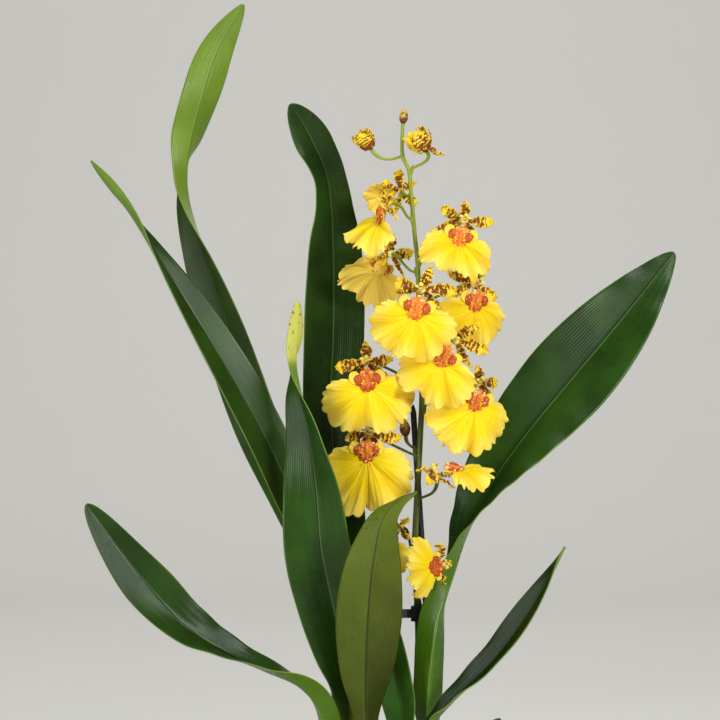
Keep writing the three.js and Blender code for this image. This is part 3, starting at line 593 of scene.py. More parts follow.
def clayPaint():
    paint = Paint("clay")
    high = paint.height()
    patch = paint.noise(16, detail=5, rough=0.6)
    grit = paint.noise(900, detail=2)
    rings = (high * 2600 + patch * 3).stripes()
    base = paint.over(
        paint.mix(patch.ramp(0.35, 0.7), "a9603b", "c67b50"),
        (paint.noise(34, detail=6, rough=0.7).ramp(0.56, 0.78) * 0.45, "d9b69b"),
        (high.fade(0.0, 0.03) * 0.35, "8a5134"), (grit.ramp(0.62, 0.7) * 0.3, "7d4529"))
    relief = grit * 0.6 + rings * 0.35 + patch * 0.4
    return paint.finish(base, 0.86, relief, 0.35, 0.0007, Specular_IOR_Level=0.25)


def plasticPaint():
    paint = Paint("dark plastic")
    scuff = paint.noise(500, detail=3)
    base = paint.mix(scuff.ramp(0.5, 0.8), "0f1010", "1d1e1c")
    return paint.finish(base, 0.38 + scuff * 0.2, scuff, 0.15, 0.0003)


leafSkin = leafPaint()
lipSkin = lipPaint()
callusSkin = callusPaint()
petalSkin = tepalPaint()
columnSkin = columnPaint()
budSkin = budPaint()
stemSkin = stemPaint()
bulbSkin = bulbPaint()
sheathSkin = sheathPaint()
barkSkin = barkPaint()
claySkin = clayPaint()
plasticSkin = plasticPaint()
print("materials ready")

# ---- pot and bark

pot = {
    "height": 108.0, "footRadius": 41.0, "rimRadius": 60.0, "collarHeight": 24.0, "collarStep": 3.5,
    "wall": 4.5, "floor": 7.0, "sides": 120, "drainRadius": 4.5, "drainCircle": 22.0, "drains": 4,
    "drill": (-5.0, 12.0), "grain": 4.0, "sharp": 40,
}


def wallRadius(z, inset=0.0):
    foot, rim = pot["footRadius"], pot["rimRadius"] - pot["collarStep"]
    return foot + (rim - foot) * z / pot["height"] - inset


def makePot(value):
    height, rim, floor, wall = value["height"], value["rimRadius"], value["floor"], value["wall"]
    collar = height - value["collarHeight"]
    inner = wallRadius(height, wall)
    corners = [  # radius, height and the rounding there
        (value["footRadius"], 0, 2.2), (wallRadius(collar), collar, 0.8), (rim - 0.4, collar + 1.2, 1.4),
        (rim, height, 2.6), (inner, height, 1.8), (wallRadius(floor, wall), floor, 5.0),
    ]
    path = [(0.0, 0.0)] + [c[:2] for c in corners] + [(0.0, floor)]
    profile = [path[0]]
    for k, (r, z, bend) in enumerate(corners, 1):
        here = np.array([r, z])
        before, after = (unit(np.array(path[n]) - here) for n in (k - 1, k + 1))
        for t in np.linspace(0, 1, 6):
            a, b = here + before * bend * (1 - t), here + after * bend * t
            profile.append(tuple(a * (1 - t) + b * t))
    profile.append(path[-1])
    dense = []
    for (r0, z0), (r1, z1) in zip(profile, profile[1:]):
        steps = max(1, int(math.hypot(r1 - r0, z1 - z0) / value["grain"]))
        dense += [(r0 + (r1 - r0) * t / steps, z0 + (z1 - z0) * t / steps) for t in range(steps)]
    shells = Shells()
    shells.skin(np.array([ringAt(r, z, value["sides"]) for r, z in dense[1:]]))
    body = shells.make("pot", [claySkin])
    for k in range(value["drains"]):  # each drain hole is cut through the floor
        a = (k + 0.5) / value["drains"] * 2 * math.pi
        centre = (value["drainCircle"] * math.cos(a), value["drainCircle"] * math.sin(a))
        drill = Shells()
        drill.skin(np.array([ringAt(value["drainRadius"], z, 32, centre) for z in value["drill"]]))
        cutter = drill.make("drill", [claySkin])
        cut = body.modifiers.new("drain", "BOOLEAN")
        cut.operation, cut.solver, cut.object = "DIFFERENCE", "EXACT", cutter
        mesh = bpy.data.meshes.new_from_object(body.evaluated_get(bpy.context.evaluated_depsgraph_get()))
        body.modifiers.clear()
        body.data = mesh
        bpy.data.objects.remove(cutter)
    mesh.polygons.foreach_set("use_smooth", [True] * len(mesh.polygons))
    mesh.set_sharp_from_angle(angle=math.radians(value["sharp"]))
    dress(body, "clay", "clay_pot")


bark = {
    "top": 95.0, "margin": 8.5, "chip": (12.5, 8.0, 4.0), "densest": 60000.0, "roughness": 0.0075,
    "layers": ((5.4, 93.0, 3), (6.6, 95.6, 11), (9.5, 98.2, 29)),  # spacing, height and seed
    "bed": ((7.3, 0.97), (30.0, 1.0), (60.0, 1.0), (91.5, 1.0), (91.8, 0.3)),  # height and share of the pot
}


def chipTree(value):
    tree = Growth("bark chips", Spacing=0.006, Seed=1)
    chip = tree.node("GeometryNodeMeshCube", None, {
        "Size": [side * mm for side in value["chip"]], "Vertices X": 4, "Vertices Y": 3, "Vertices Z": 3})
    turn = tree.random3((-0.45, 0.45, 5), (-0.5, 0.5, 6), (0.0, 6.28, 7))
    tinted = tree.scattered(
        value["densest"], chip, "tint", 12,
        Rotation=tree.node("FunctionNodeEulerToRotation", None, {0: turn}),
        Scale=tree.random3((0.6, 1.35, 8), (0.6, 1.3, 9), (0.5, 1.4, 10)))
    loose = tree.node("GeometryNodeRealizeInstances", None, {"Geometry": tinted})
    rough = tree.node("ShaderNodeTexNoise", None, {"Scale": 190.0, "Detail": 3.0}, "Color")
    push = tree.node("ShaderNodeVectorMath", {"operation": "SCALE"}, {
        0: tree.node("ShaderNodeVectorMath", {"operation": "SUBTRACT"}, {0: rough, 1: (0.5, 0.5, 0.5)}),
        "Scale": value["roughness"]})
    tree.end(tree.node("GeometryNodeSetPosition", None, {"Geometry": loose, "Offset": push}), barkSkin)
    return tree


def makeBark(value):
    tree = chipTree(value)
    reach = wallRadius(value["top"], pot["wall"]) - value["margin"]
    sides, radii = 48, (reach, reach * 0.5, 1.0)
    quads = [(k + j, k + (j + 1) % sides, k + sides + (j + 1) % sides, k + sides + j)
             for k in range(0, (len(radii) - 1) * sides, sides) for j in range(sides)]
    layers = []
    for index, (spacing, z, seed) in enumerate(value["layers"]):
        bed = Shells()
        bed.add([ringAt(r, z, sides) for r in radii], quads)
        layers.append(tree.run(bed.make("bed", [barkSkin]), f"bark_chips_{index + 1}",
                               Spacing=spacing * mm, Seed=seed))
    plug = Shells()
    plug.skin(np.array([ringAt(wallRadius(z, pot["wall"] + 1) * share, z, 72) for z, share in value["bed"]]))
    dress(plug.make("bark_bed", [barkSkin]), "bark", "bark_chips")
    for layer in layers:
        dress(layer, "bark")


makePot(pot)
makeBark(bark)
print("pot and bark ready")

# ---- pseudobulbs and their dry sheaths

bulbs = {
    "left": {"foot": (-19, -6, 84), "half": (14.5, 8.5), "height": 61, "turn": 10, "sheath": (140, 58, 0.62)},
    "right": {"foot": (21, -15, 84), "half": (13.5, 8), "height": 59, "turn": -12, "sheath": (128, 56, 0.58)},
    "back": {"foot": (-7, 21, 84), "half": (12.5, 8), "height": 55, "turn": -4, "sheath": (70, 64, 0.6)},
}
sheathForm = {"low": 0.2, "off": 1.05, "thickness": 0.4}


def bulbPoint(value, t, angle, out=0.0):
    swell = np.sqrt(np.maximum(0, 1 - np.abs(1.72 * t - 0.72) ** 2.3))
    rib = 1 + 0.035 * np.cos(5 * angle) + 0.012 * np.cos(17 * angle + 3 * t)
    x = (value["half"][0] * swell * rib + out) * np.cos(angle)
    y = (value["half"][1] * swell * rib + out) * np.sin(angle)
    lift = np.where(t > 0.5, out, -out)
    return turned(x, y, t * value["height"] + lift, value["turn"]) + value["foot"]


def makeBulb(name, value):
    body = Shells()
    body.skin(bulbPoint(value, (0.02 + 0.975 * np.linspace(0, 1, 44))[:, None], circle(72)[None, :]))
    dress(body.make(f"bulb_{name}", [bulbSkin]), "bulb", f"pseudobulb_{name}")

    middle, spread, top = value["sheath"]
    row = np.linspace(0, 1, 36)[:, None]
    v = np.linspace(-1, 1, 41)[None, :]
    half = math.radians(spread) * (1 - row) ** 0.6 + 0.05
    torn = 0.05 * np.sin(9 * v + 2) * row + 0.03 * np.sin(23 * v) * row
    up = sheathForm["low"] + (top - sheathForm["low"]) * row * (1 + torn)
    off = sheathForm["off"] + 0.5 * np.abs(v) ** 3 + 0.25 * np.sin(14 * v + 5 * row)
    wrap = Shells()
    wrap.plate(bulbPoint(value, up, math.radians(middle) + v * half, off), sheathForm["thickness"],
               stacked(row, (v + 1) / 2))
    dress(wrap.make(f"sheath_{name}", [sheathSkin]), "sheath", f"dry_sheath_{name}")


for name, value in bulbs.items():
    makeBulb(name, value)
print("pseudobulbs ready")

# ---- leaves

leafForm = {
    "thickness": 1.0, "edge": 0.45, "tipFrom": 0.76, "tipPower": 2.2, "along": 150, "across": 28,
    "ripple": 0.35, "crease": 0.008,
}

# Each row is the midrib's x, y and z, the half width, the turn of the blade and the fold of its halves.
leaves = {
    "tall_left": [
        (-11, 20, 133, 4, 10, 62), (-18.5, 18, 191, 8.5, 12, 45), (-29, 15, 228, 10.8, 14, 30),
        (-41, 13, 256, 12, 16, 24), (-56.5, 12, 288, 12.6, 20, 22), (-66, 12, 314, 12.8, 24, 22),
        (-74, 11, 339, 12.2, 30, 24), (-83, 9, 367, 10.6, 46, 26), (-90, 6, 391, 9.2, 74, 30),
        (-91.6, 4, 407, 8.6, 104, 28), (-89.4, 3, 423, 9.4, 136, 22), (-84, 3, 443, 10.2, 154, 16),
        (-77, 5, 464, 10.6, 162, 14), (-65.5, 8, 485, 8, 166, 12)],
    "long_left": [
        (-20, -4, 139, 4, -10, 62), (-23, -6, 187, 8.5, -14, 45), (-34, -9, 236, 10, -18, 30),
        (-44, -12, 261, 10.4, -22, 24), (-54.5, -15, 284, 10.8, -26, 20), (-67.7, -18, 309, 10.8, -32, 20),
        (-80, -20, 330, 10, -38, 20), (-93, -22, 351, 8.4, -50, 20), (-104.5, -23, 369, 6.4, -66, 22),
        (-113.5, -24, 384, 5, -96, 20), (-124, -25, 399, 4, -130, 16), (-133, -26, 410.5, 2.6, -140, 10)],
    "low_left": [
        (-24, -16, 84, 5.5, -172, 60), (-25, -17, 114, 6, -172, 56), (-25.5, -19, 140, 6.5, -166, 50),
        (-28.5, -23, 160, 7.5, -146, 38), (-38.4, -27, 173, 8, -112, 30), (-54, -29, 180.5, 8, -78, 28),
        (-72, -30, 189, 9, -56, 26), (-90, -32, 201, 11, -30, 22), (-105, -33, 217, 11.8, -14, 18),
        (-117, -34, 232, 11.4, -6, 16), (-134, -36, 256, 10, 2, 12)],
    "broad_left": [
        (-18, -9, 141, 4.5, 0, 62), (-16.5, -16, 172, 10, 2, 40), (-20, -22, 191, 14, 4, 28),
        (-25, -27, 213, 16, 8, 22), (-29.5, -30, 236, 16.4, 12, 20), (-31.5, -32, 262, 14.4, 22, 20),
        (-34.5, -32, 288, 11, 42, 24), (-38.4, -31, 306, 8.5, 66, 26), (-40.5, -30, 319, 6, 96, 22),
        (-40, -30, 332, 5.4, 138, 14), (-39.5, -30, 347, 5, 158, 10)],
    "tall_middle": [
        (-5, 22, 133, 4.5, -6, 62), (-11, 26, 189, 9, -8, 44), (-20, 30, 242, 12, -12, 30),
        (-26, 32, 292, 14.5, -16, 22), (-25, 32, 334, 15.5, -18, 18), (-25, 29, 372, 14.5, -28, 16),
        (-27, 22, 404, 9.6, -36, 20), (-35, 14, 424, 10.4, -18, 16), (-43.5, 8, 439, 9, -6, 12)],
    "front_short": [
        (-13, -17, 84, 6, 172, 60), (-12, -18, 114, 6.4, 174, 56), (-9, -25, 150, 7, 178, 50),
        (-9, -38, 178, 13, 182, 26), (-8, -50, 205, 15.5, 184, 18), (-6, -57, 229, 13, 186, 16),
        (-2, -60, 249, 7.5, 196, 20), (5, -60, 258, 4.2, 232, 20), (13.5, -58, 262.5, 2.6, 246, 14)],
    "hidden_short": [
        (11.5, -18, 84, 5.5, 20, 60), (11.5, -17.5, 114, 6, 20, 56), (9, -17, 146, 7.5, 18, 48),
        (7, -18, 166, 9, 14, 32), (1, -20, 188, 9.5, 8, 24), (-5, -24, 208, 8, 2, 18),
        (-11, -29, 226, 5, -2, 14)],
    "broad_right": [
        (20, -16, 139, 4.5, 180, 62), (19.6, -16, 162, 8.4, 178, 44), (21.2, -14, 182, 8.8, 168, 40),
        (24.2, -9, 202, 9, 148, 34), (31.5, -1, 222, 9.2, 108, 30), (38.6, 6, 242, 11.4, 70, 26),
        (49.5, 10, 264, 15, 42, 22), (66, 14, 287.5, 18.8, 22, 18), (87, 19, 313, 21.2, 10, 16),
        (112, 25, 342, 19, 5, 14), (136, 30, 371, 12, 2, 12)],
    "low_right": [
        (20.5, -30, 84, 5, 100, 60), (19.5, -31, 108, 5, 98, 56), (18, -31, 134, 4.5, 92, 50),
        (19.5, -30, 153, 5, 88, 40), (30, -32, 167, 6.6, 72, 30), (46.5, -37, 184, 8, 58, 24),
        (60, -42, 202, 8.2, 56, 22), (71, -46, 220, 6.4, 66, 20), (79.5, -48, 237.6, 4, 96, 16)],
    "young_right": [
        (36.5, -10, 84, 5, 40, 60), (38, -11, 106, 5.6, 40, 56), (41, -13, 128, 7, 32, 48),
        (45, -16, 144, 7, 24, 34), (52, -20, 158, 4.5, 16, 20)],
}
leafAge = {"front_short": 1.0, "tall_left": 0.12, "long_left": 0.05}  # how olive a leaf has turned
leafDry = {"broad_left": 0.78}  # where along it a leaf has withered
leafDeep = {  # how much darker its upper side is painted
    "low_right": 0.75, "tall_middle": 0.45, "long_left": 0.4, "tall_left": 0.4, "low_left": 0.4,
    "broad_left": 0.3, "broad_right": 0.3,
}


def leafGrid(rows):
    u = 1 - (1 - np.arange(leafForm["along"] + 1) / leafForm["along"]) ** 1.3
    x, y, z, half, turn, fold = rowAt(rows, u).T
    tangent = unit(rowAt(rows, u + 0.01)[:, :3] - rowAt(rows, u - 0.01)[:, :3])
    right = unit(np.cross([0, 1, 0], tangent))
    face = unit(np.cross(right, tangent))
    a, bend = np.radians(turn)[:, None], np.radians(fold)[:, None, None]
    side = (right * np.cos(a) + face * np.sin(a))[:, None, :]
    normal = (face * np.cos(a) - right * np.sin(a))[:, None, :]
    point = np.clip((u - leafForm["tipFrom"]) / (1 - leafForm["tipFrom"]), 0, 1) ** leafForm["tipPower"]
    width = np.maximum(half * np.sqrt(1 - point), 0.5)[:, None, None]
    v = np.linspace(-1, 1, leafForm["across"] + 1)[None, :, None]
    blunt = leafForm["crease"]
    crease = (np.sqrt(v * v + blunt) - 0.09) / (math.sqrt(1 + blunt) - 0.09)
    ripple = leafForm["ripple"] * np.sin(31 * u + 2.3 * half) * smooth(0.15, 0.4, u)
    wave = ripple[:, None, None] * np.abs(v) ** 3 * np.sign(v)
    middle = stacked(x, y, z)[:, None, :]
    grid = middle + side * v * width * np.cos(bend) + normal * (crease * width * np.sin(bend) + wave)
    return grid, u[:, None], v[:, :, 0]


def makeLeaf(name, rows):
    grid, u, v = leafGrid(rows)
    thick = leafForm["edge"] + (leafForm["thickness"] - leafForm["edge"]) * (1 - np.abs(v) ** 4)
    dryFrom = leafDry.get(name, 2.0)
    blade = Shells()
    blade.plate(grid, thick, stacked(u, (v + 1) / 2), old=leafAge.get(name, 0.0),
                deep=leafDeep.get(name, 0.0), dry=smooth(dryFrom, dryFrom + 0.05, u))
    slot = "old_leaf" if name == "front_short" else "leaf"
    dress(blade.make(f"blade_{name}", [leafSkin]), slot, f"leaf_{name}")


for name, rows in leaves.items():
    makeLeaf(name, rows)
print("leaves ready")

# ---- flowering stem, stalks, stake and clip

stem = {
    "route": [
        (21, 0, 78), (19.5, 0, 108), (17.6, 0, 137), (16, 0, 173), (15.2, 0, 206), (13.8, 0, 229),
        (14.7, 0, 256), (16.1, 0, 284), (17, 0, 305), (15.4, 0, 334), (15.2, 0, 362), (13.6, 0, 379),
        (12, 0, 397), (11, 0, 407.5), (8.2, 0, 414.5), (7.8, 0, 422), (8.2, 0, 428.4)],
    "radius": (2.2, 0.78), "joints": (137, 172, 206), "swelling": (0.55, 1.8), "sides": 16,
    "tip": (0.1, 0, 0.9),  # from the route's end into the base of the last bud
}
stake = {"foot": (31, 5, 22), "tip": (12.9, 4.6, 300), "radius": 1.4}

# place, turn, nod, roll, size, the lip's roll, pitch, size and width, and where its stalk leaves from
blooms = {
    "top_left": ((7.4, 8, 398.6), -168, 22, -62, 0.84, (-66, 8, 0.52, 1), 395),
    "upper_left": ((1.6, -9, 392.6), -80, -4, 14, 0.9, (30, 60, 1.04, 0.9), 385),
    "back_left": ((2.9, 11, 369.7), -150, 4, -20, 0.95, (-30, 44, 0.98, 0.92), 361),
    "upper_right": ((35.8, -14, 384.4), 2, -6, 16, 1, (14, 49, 1.0, 0.94), 366),
    "centre": ((15.8, -43, 352.3), -4, -8, 6, 1.06, (13, 0, 1.06, 0.94), 340),
    "middle_right": ((41, -5, 355.6), 20, -4, 26, 1, (6, 0, 0.94, 1), 346),
    "star": ((31.6, -30, 329.6), -14, -6, 6, 1.05, (33, 0, 1.03, 1), 322),
    "left": ((-9, -20, 320.2), 2, -8, 4, 1.06, (-5, 0, 1.08, 1.04), 309),
    "right": ((42, -13, 310.4), 18, -6, 4, 1.02, (12, 0, 1.16, 0.88), 298),
    "lower_left": ((-7.4, -6.2, 286.8), -8, 2, 2, 1.04, (2, 0, 1.34, 0.8), 276),
    "side_right": ((23.7, -16, 267.6), 6, 74, -82, 0.95, (-82, 0, 0.88, 1), 256),
    "bottom_left": ((6.6, 6, 243), -64, 2, -4, 0.86, (4, 34, 0.98, 1), 232),
    "bottom": ((23.4, -16, 227.6), 54, 2, 84, 0.84, (86, -12, 0.84, 1.05), 216),
}
# place, turn, nod, roll, size, how far it is open, and the height its stalk leaves from
buds = {
    "tip": ((8.3, 0, 429.7), 40, 80, 0, 0.64, 0, None),
    "opening_left": ((-6.6, -1.2, 417.8), -75, 55, 30, 0.92, 0.45, 414.6),
    "opening_right": ((18.8, -6, 416.4), -80, 52, -10, 1.06, 0.7, 408),
    "closed_low": ((9.5, 2, 286), 200, 74, 0, 0.78, 0, 279),
}
# sepals that stand off an opening bud: direction round it, length, climb and further bend in degrees
looseSepals = {
    "opening_left": ((170, 8, 8, 20),),
    "opening_right": ((8, 10, -38, -10), (62, 8, 28, 60), (320, 8, 30, 70)),
}
plainPetals = {"opening_left": (), "opening_right": (270, 180)}  # petals of a bud that have no spots
# how far a stalk climbs at first, as a share of its length
stalkRise = {"usual": 0.16, "opening_left": -0.18, "upper_left": 0.02, "back_left": -0.04}
stalkForm = {"radius": 0.62, "swelling": 0.3, "reach": 1.2, "scaleLeaf": 5.0, "scaleHalf": 0.75}


def facingOf(turn, nod):
    t, n = math.radians(turn), math.radians(nod)
    return np.array([math.sin(t) * math.cos(n), -math.cos(t) * math.cos(n), math.sin(n)])


def flowerFrame(place, turn, nod, roll, size):
    # takes points from a flower's own frame to their place on the plant
    t, s = math.radians(turn), math.radians(-roll)
    facing = facingOf(turn, nod)
    right = np.array([math.cos(t), math.sin(t), 0.0])
    up = np.cross(facing, right)
    across = right * math.cos(s) + up * math.sin(s)
    along = up * math.cos(s) - right * math.sin(s)
    basis = np.column_stack([across, along, facing]) * size
    return lambda points: points @ basis.T + np.asarray(place, float)


def centripetal(route, count):
    # points along a smooth curve through the route
    table = np.asarray(route, float)
    ends = np.vstack([2 * table[0] - table[1], table, 2 * table[-1] - table[-2]])

    def blend(a, b, first, last, t):
        return (a * (last - t) + b * (t - first)) / (last - first)

    points = []
    for k in range(len(table) - 1):
        p = ends[k:k + 4]
        knots = np.concatenate([[0], np.cumsum(np.sqrt(np.linalg.norm(np.diff(p, axis=0), axis=1)))])
        for t in np.linspace(knots[1], knots[2], count, endpoint=False):
            near = [blend(p[i], p[i + 1], knots[i], knots[i + 1], t) for i in range(3)]
            far = [blend(near[i], near[i + 1], knots[i], knots[i + 2], t) for i in range(2)]
            points.append(blend(far[0], far[1], knots[1], knots[2], t))
    return np.vstack([points, table[-1]])


stemLine = centripetal(stem["route"], 14)


def stemAt(z):
    return np.array([np.interp(z, stemLine[:, 2], stemLine[:, k]) for k in range(3)])


def stalkLine(name, place, turn, nod, size, reach, start):
    facing = facingOf(turn, nod)
    end = place - facing * (reach * size)
    first = stemAt(start)
    length = np.linalg.norm(end - first)
    out = unit((end - first) * [1, 1, 0])
    rise = stalkRise.get(name, stalkRise["usual"]) * length
    control = [first, first + out * 0.4 * length + [0, 0, rise], end - facing * 0.42 * length, end]
    t = np.linspace(0, 1, 40)[:, None]
    weights = ((1 - t) ** 3, 3 * t * (1 - t) ** 2, 3 * t * t * (1 - t), t ** 3)
    return sum(w * c for w, c in zip(weights, control))


def barTree():
    tree = Growth("round bar", Sides=stem["sides"])
    ring = tree.node("GeometryNodeCurvePrimitiveCircle", {"mode": "RADIUS"}, {
        "Resolution": tree.given("Sides"), "Radius": 1.0})
    bar = tree.node("GeometryNodeCurveToMesh", None, {
        "Curve": tree.given(), "Profile Curve": ring,
        "Scale": tree.node("GeometryNodeInputRadius"), "Fill Caps": True})
    tree.end(bar, stemSkin)
    return tree


def barsOf(name, lines, tree, skin):
    # lines are pairs of points and radii, both in millimetres
    data = bpy.data.curves.new(name, "CURVE")
    data.dimensions = "3D"
    for points, radii in lines:
        spline = data.splines.new("POLY")
        spline.points.add(len(points) - 1)
        spline.points.foreach_set("co", np.column_stack([points * mm, np.ones(len(points))]).ravel())
        spline.points.foreach_set("radius", np.asarray(radii) * mm)
    bar = tree.run(linked(name + "_line", data), name)
    bar.data.materials.clear()
    bar.data.materials.append(skin)
    return bar


def makeStem(value):
    tree = barTree()
    z = stemLine[:, 2]
    radii = value["radius"][0] + (value["radius"][1] - value["radius"][0]) * (z - z[0]) / (z[-1] - z[0])
    rise, spread = value["swelling"]
    for joint in value["joints"]:
        radii = radii + rise * np.exp(-((z - joint) / spread) ** 2)
    lines = [(np.vstack([stemLine, stemLine[-1] + value["tip"]]), np.append(radii, radii[-1]))]
    reach, swelling = stalkForm["reach"], stalkForm["swelling"]
    stalks = [(name, row[:3], row[4], reach, row[6]) for name, row in blooms.items()]
    stalks += [(name, row[:3], row[4], reach - row[5], row[6]) for name, row in buds.items() if row[6]]
    for name, (place, turn, nod), size, back, start in stalks:
        line = stalkLine(name, place, turn, nod, size, back, start)
        t = np.linspace(0, 1, len(line))
        lines.append((line, stalkForm["radius"] + swelling * smooth(0.45, 0.95, t)
                      + swelling * np.exp(-(t / 0.05) ** 2)))
        # a small scale leaf clasps the stem below each stalk
        up = np.linspace(0, 1, 14)[:, None]
        out = unit((line[6] - line[0]) * [1, 1, 0])
        off = np.interp(start, z, radii) + 0.1 + 0.9 * up ** 2
        scale = stemAt(start - 2.5) + out * off + [0, 0, stalkForm["scaleLeaf"]] * up
        lines.append((scale, stalkForm["scaleHalf"] * np.sin(np.pi * (0.12 + 0.85 * up[:, 0])) ** 0.8))
    dress(barsOf("spike_stem", lines, tree, stemSkin), "stem", "flower_stem")


def makeStake(value):
    foot, tip = np.array(value["foot"], float), np.array(value["tip"], float)
    share = np.concatenate([np.linspace(0, 0.985, 30), [0.993, 0.998, 1.0]])
    rod = foot + (tip - foot) * share[:, None]
    radii = value["radius"] * np.sqrt(np.clip((1.0 - share) / 0.012, 0.05, 1))
    dress(barsOf("stake_rod", [(rod, radii)], barTree(), plasticSkin), "plastic", "support_stake")
    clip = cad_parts["stake_clip"]
    clip.data.materials.clear()
    clip.data.materials.append(plasticSkin)


makeStem(stem)
makeStake(stake)
print("stem and stake ready")

# ---- blooms

lipForm = {
    "radius": 20.8, "halfSpread": 124.0, "sinus": 122.0, "power": 5, "wave": 1.6, "waves": 8, "drape": 0.013,
    "waist": -10.2, "height": 3.6, "rings": 32, "rays": 320, "thickness": 0.5, "edge": 0.22,
    "crimp": 17.0, "crimpDepth": 0.1, "frill": 1.4, "frills": 19.0,
    "ear": (5.5, -6.1, 4.5), "earRadii": (2.4, 2.8, 0.3), "backing": ((3.7, 4.4, 0.4), (0, -7.5, 3.4)),
}
# How each kind of sepal or petal is shaped: half width, arch of its middle, how far its tip
# goes back, ruffle of its edges in mm, twist in degrees, height of its root, and blunt or not.
tepalMeasures = ("half", "arch", "reflex", "ruffle", "twist", "lift", "blunt")
tepalKinds = {
    "dorsal": dict(zip(tepalMeasures, (2.4, 1.8, -2.2, 1.1, 24, 0.3, 0))),
    "petal": dict(zip(tepalMeasures, (2.8, 1.2, 0.6, 1.7, 50, 0.1, 1))),
    "lateral": dict(zip(tepalMeasures, (1.8, 0.2, 1.6, 0.8, 70, -0.9, 0))),
}
columnForm = {"lean": -0.5, "foot": (0, 1.3, 3.4)}
# The angle from the flower's top and the length in mm of its dorsal sepal, its left and right
# petal, and its left and right lateral sepal.
tepalsOf = {
    "usual": ((4, 9.5), (-72, 11.5), (70, 12), (-128, 12), (124, 12)),
    "upper_right": ((-16, 8), (-78, 11), (78, 13), (-121, 15.5), (134, 14)),
    "centre": ((23, 10.5), (-77, 10.5), (84, 14.5), (-105, 12), (132, 14)),
    "middle_right": ((-16, 8), (-92, 14), (96, 12.5), (-143, 14), (141, 12)),
    "star": ((48, 13), (-22, 11), (104, 14.5), (-84, 11), (150, 13)),
    "left": ((0, 8), (-104, 12.5), (86, 11), (-160, 14.5), (128, 14)),
    "right": ((-10, 7), (-88, 10), (86, 9), (-146, 13), (128, 11)),
    "lower_left": ((20, 8), (-99, 10), (95, 14), (-150, 10.5), (148, 10)),
}
warts = {"spacing": 1.25, "radius": 0.44, "densest": 4000000.0}
# The callus is a heap of lumps: centre, radii, lean in radians, and how red each is. One
# that lies off the middle has a twin on the other side.
callusLumps = [
    ((0, -7.0, 4.2), (3.6, 4.2, 1.4), 0.2, 0.5), ((0, -11.2, 4.2), (1.1, 1.9, 1.0), 0.1, 0.6),
    ((2.0, -10.4, 4.3), (1.2, 1.8, 1.0), 0.1, 0.66), ((4.0, -7.4, 4.6), (1.8, 2.5, 1.4), 0.1, 0.95),
    ((1.8, -4.6, 5.2), (1.3, 1.4, 1.1), 0.2, 0.14), ((0, -6.8, 5.6), (0.9, 1.9, 0.8), 0.2, 0.3),
]
# how much darker red a bloom's callus is painted, as painted shade where the callus lies in shade
callusShade = {"left": 0.22, "bottom": 0.45, "lower_left": 0.1, "upper_left": 0.15}


def wander(x, seed):
    return (np.sin(x + seed) + 0.6 * np.sin(1.9 * x + 2.3 * seed) + 0.4 * np.sin(3.1 * x + 4.1 * seed)) / 2


def lipEdge(angle, seed):
    # how far the edge lies from the waist, at an angle in degrees from straight down
    turn = np.radians(angle)
    spread = np.minimum(np.abs(angle) / lipForm["sinus"], 1) ** lipForm["power"]
    cleft = 0.17 * np.exp(-(((angle - 6 * math.sin(seed)) / 10) ** 2))
    blade = lipForm["radius"] * (1 - 0.9 * spread) * (1 - cleft) * (1 + 0.035 * np.sin(5 * turn + seed))
    crimp = 1 - np.abs(np.sin(lipForm["crimp"] * turn + 2.2 * wander(3 * turn, seed)))
    uneven = 0.5 + 0.5 * wander(5 * turn, 3 * seed + 1)
    return np.maximum(blade * (1 - lipForm["crimpDepth"] * (0.25 + uneven) * crimp), 2.4)


def lipGrid(seed):
    share = (np.linspace(0, 1, lipForm["rings"] + 1) ** 0.85)[:, None]
    angle = np.linspace(-1, 1, lipForm["rays"] + 1)[None, :] * lipForm["halfSpread"]
    a = np.radians(angle)
    distance = 1 + (lipEdge(angle, seed) - 1) * share
    x, y = distance * np.sin(a), -distance * np.cos(a)
    far = distance / lipForm["radius"]
    ruffle = lipForm["wave"] * far ** 2 * np.cos(lipForm["waves"] * a + seed + 1.3 * wander(2 * a, seed))
    fold = 1.3 * far ** 1.3 * wander(5 * a, 2 * seed + 1) + 0.35 * far * wander(17 * a + 3 * share, seed)
    uneven = lipForm["frill"] * (0.65 + 0.5 * wander(4 * a, seed + 2))
    frill = share ** 7 * far * uneven * np.sin(lipForm["frills"] * a + 2.5 * wander(3 * a, seed))
    bow = 1.5 * np.sin(np.pi * share * 0.8) - 2.4 * far ** 2
    grid = stacked(x, y, bow + ruffle + fold + frill - lipForm["drape"] * x * x)
    # painted shade: a mask for the valleys of the folds, which the lip paint darkens
    valley = smooth(-0.2, 1.6, -(ruffle + fold) / np.maximum(far, 0.2))
    return grid, stacked(angle / 360 + 0.5, share), valley, far


def wartTree(value):
    tree = Growth("warty pad", Spacing=value["spacing"] * mm, Seed=1)
    bead = tree.node("GeometryNodeMeshIcoSphere", None, {"Radius": value["radius"] * mm, "Subdivisions": 2})
    tinted = tree.scattered(value["densest"], bead, "wart", 4, Scale=tree.random(0.5, 1.25, 3))
    both = tree.node("GeometryNodeJoinGeometry", None, {"Geometry": tree.given()})
    tree.tree.links.new(tinted.socket, both.socket.node.inputs["Geometry"])
    tree.end(both, callusSkin)
    return tree


wartyPad = wartTree(warts)


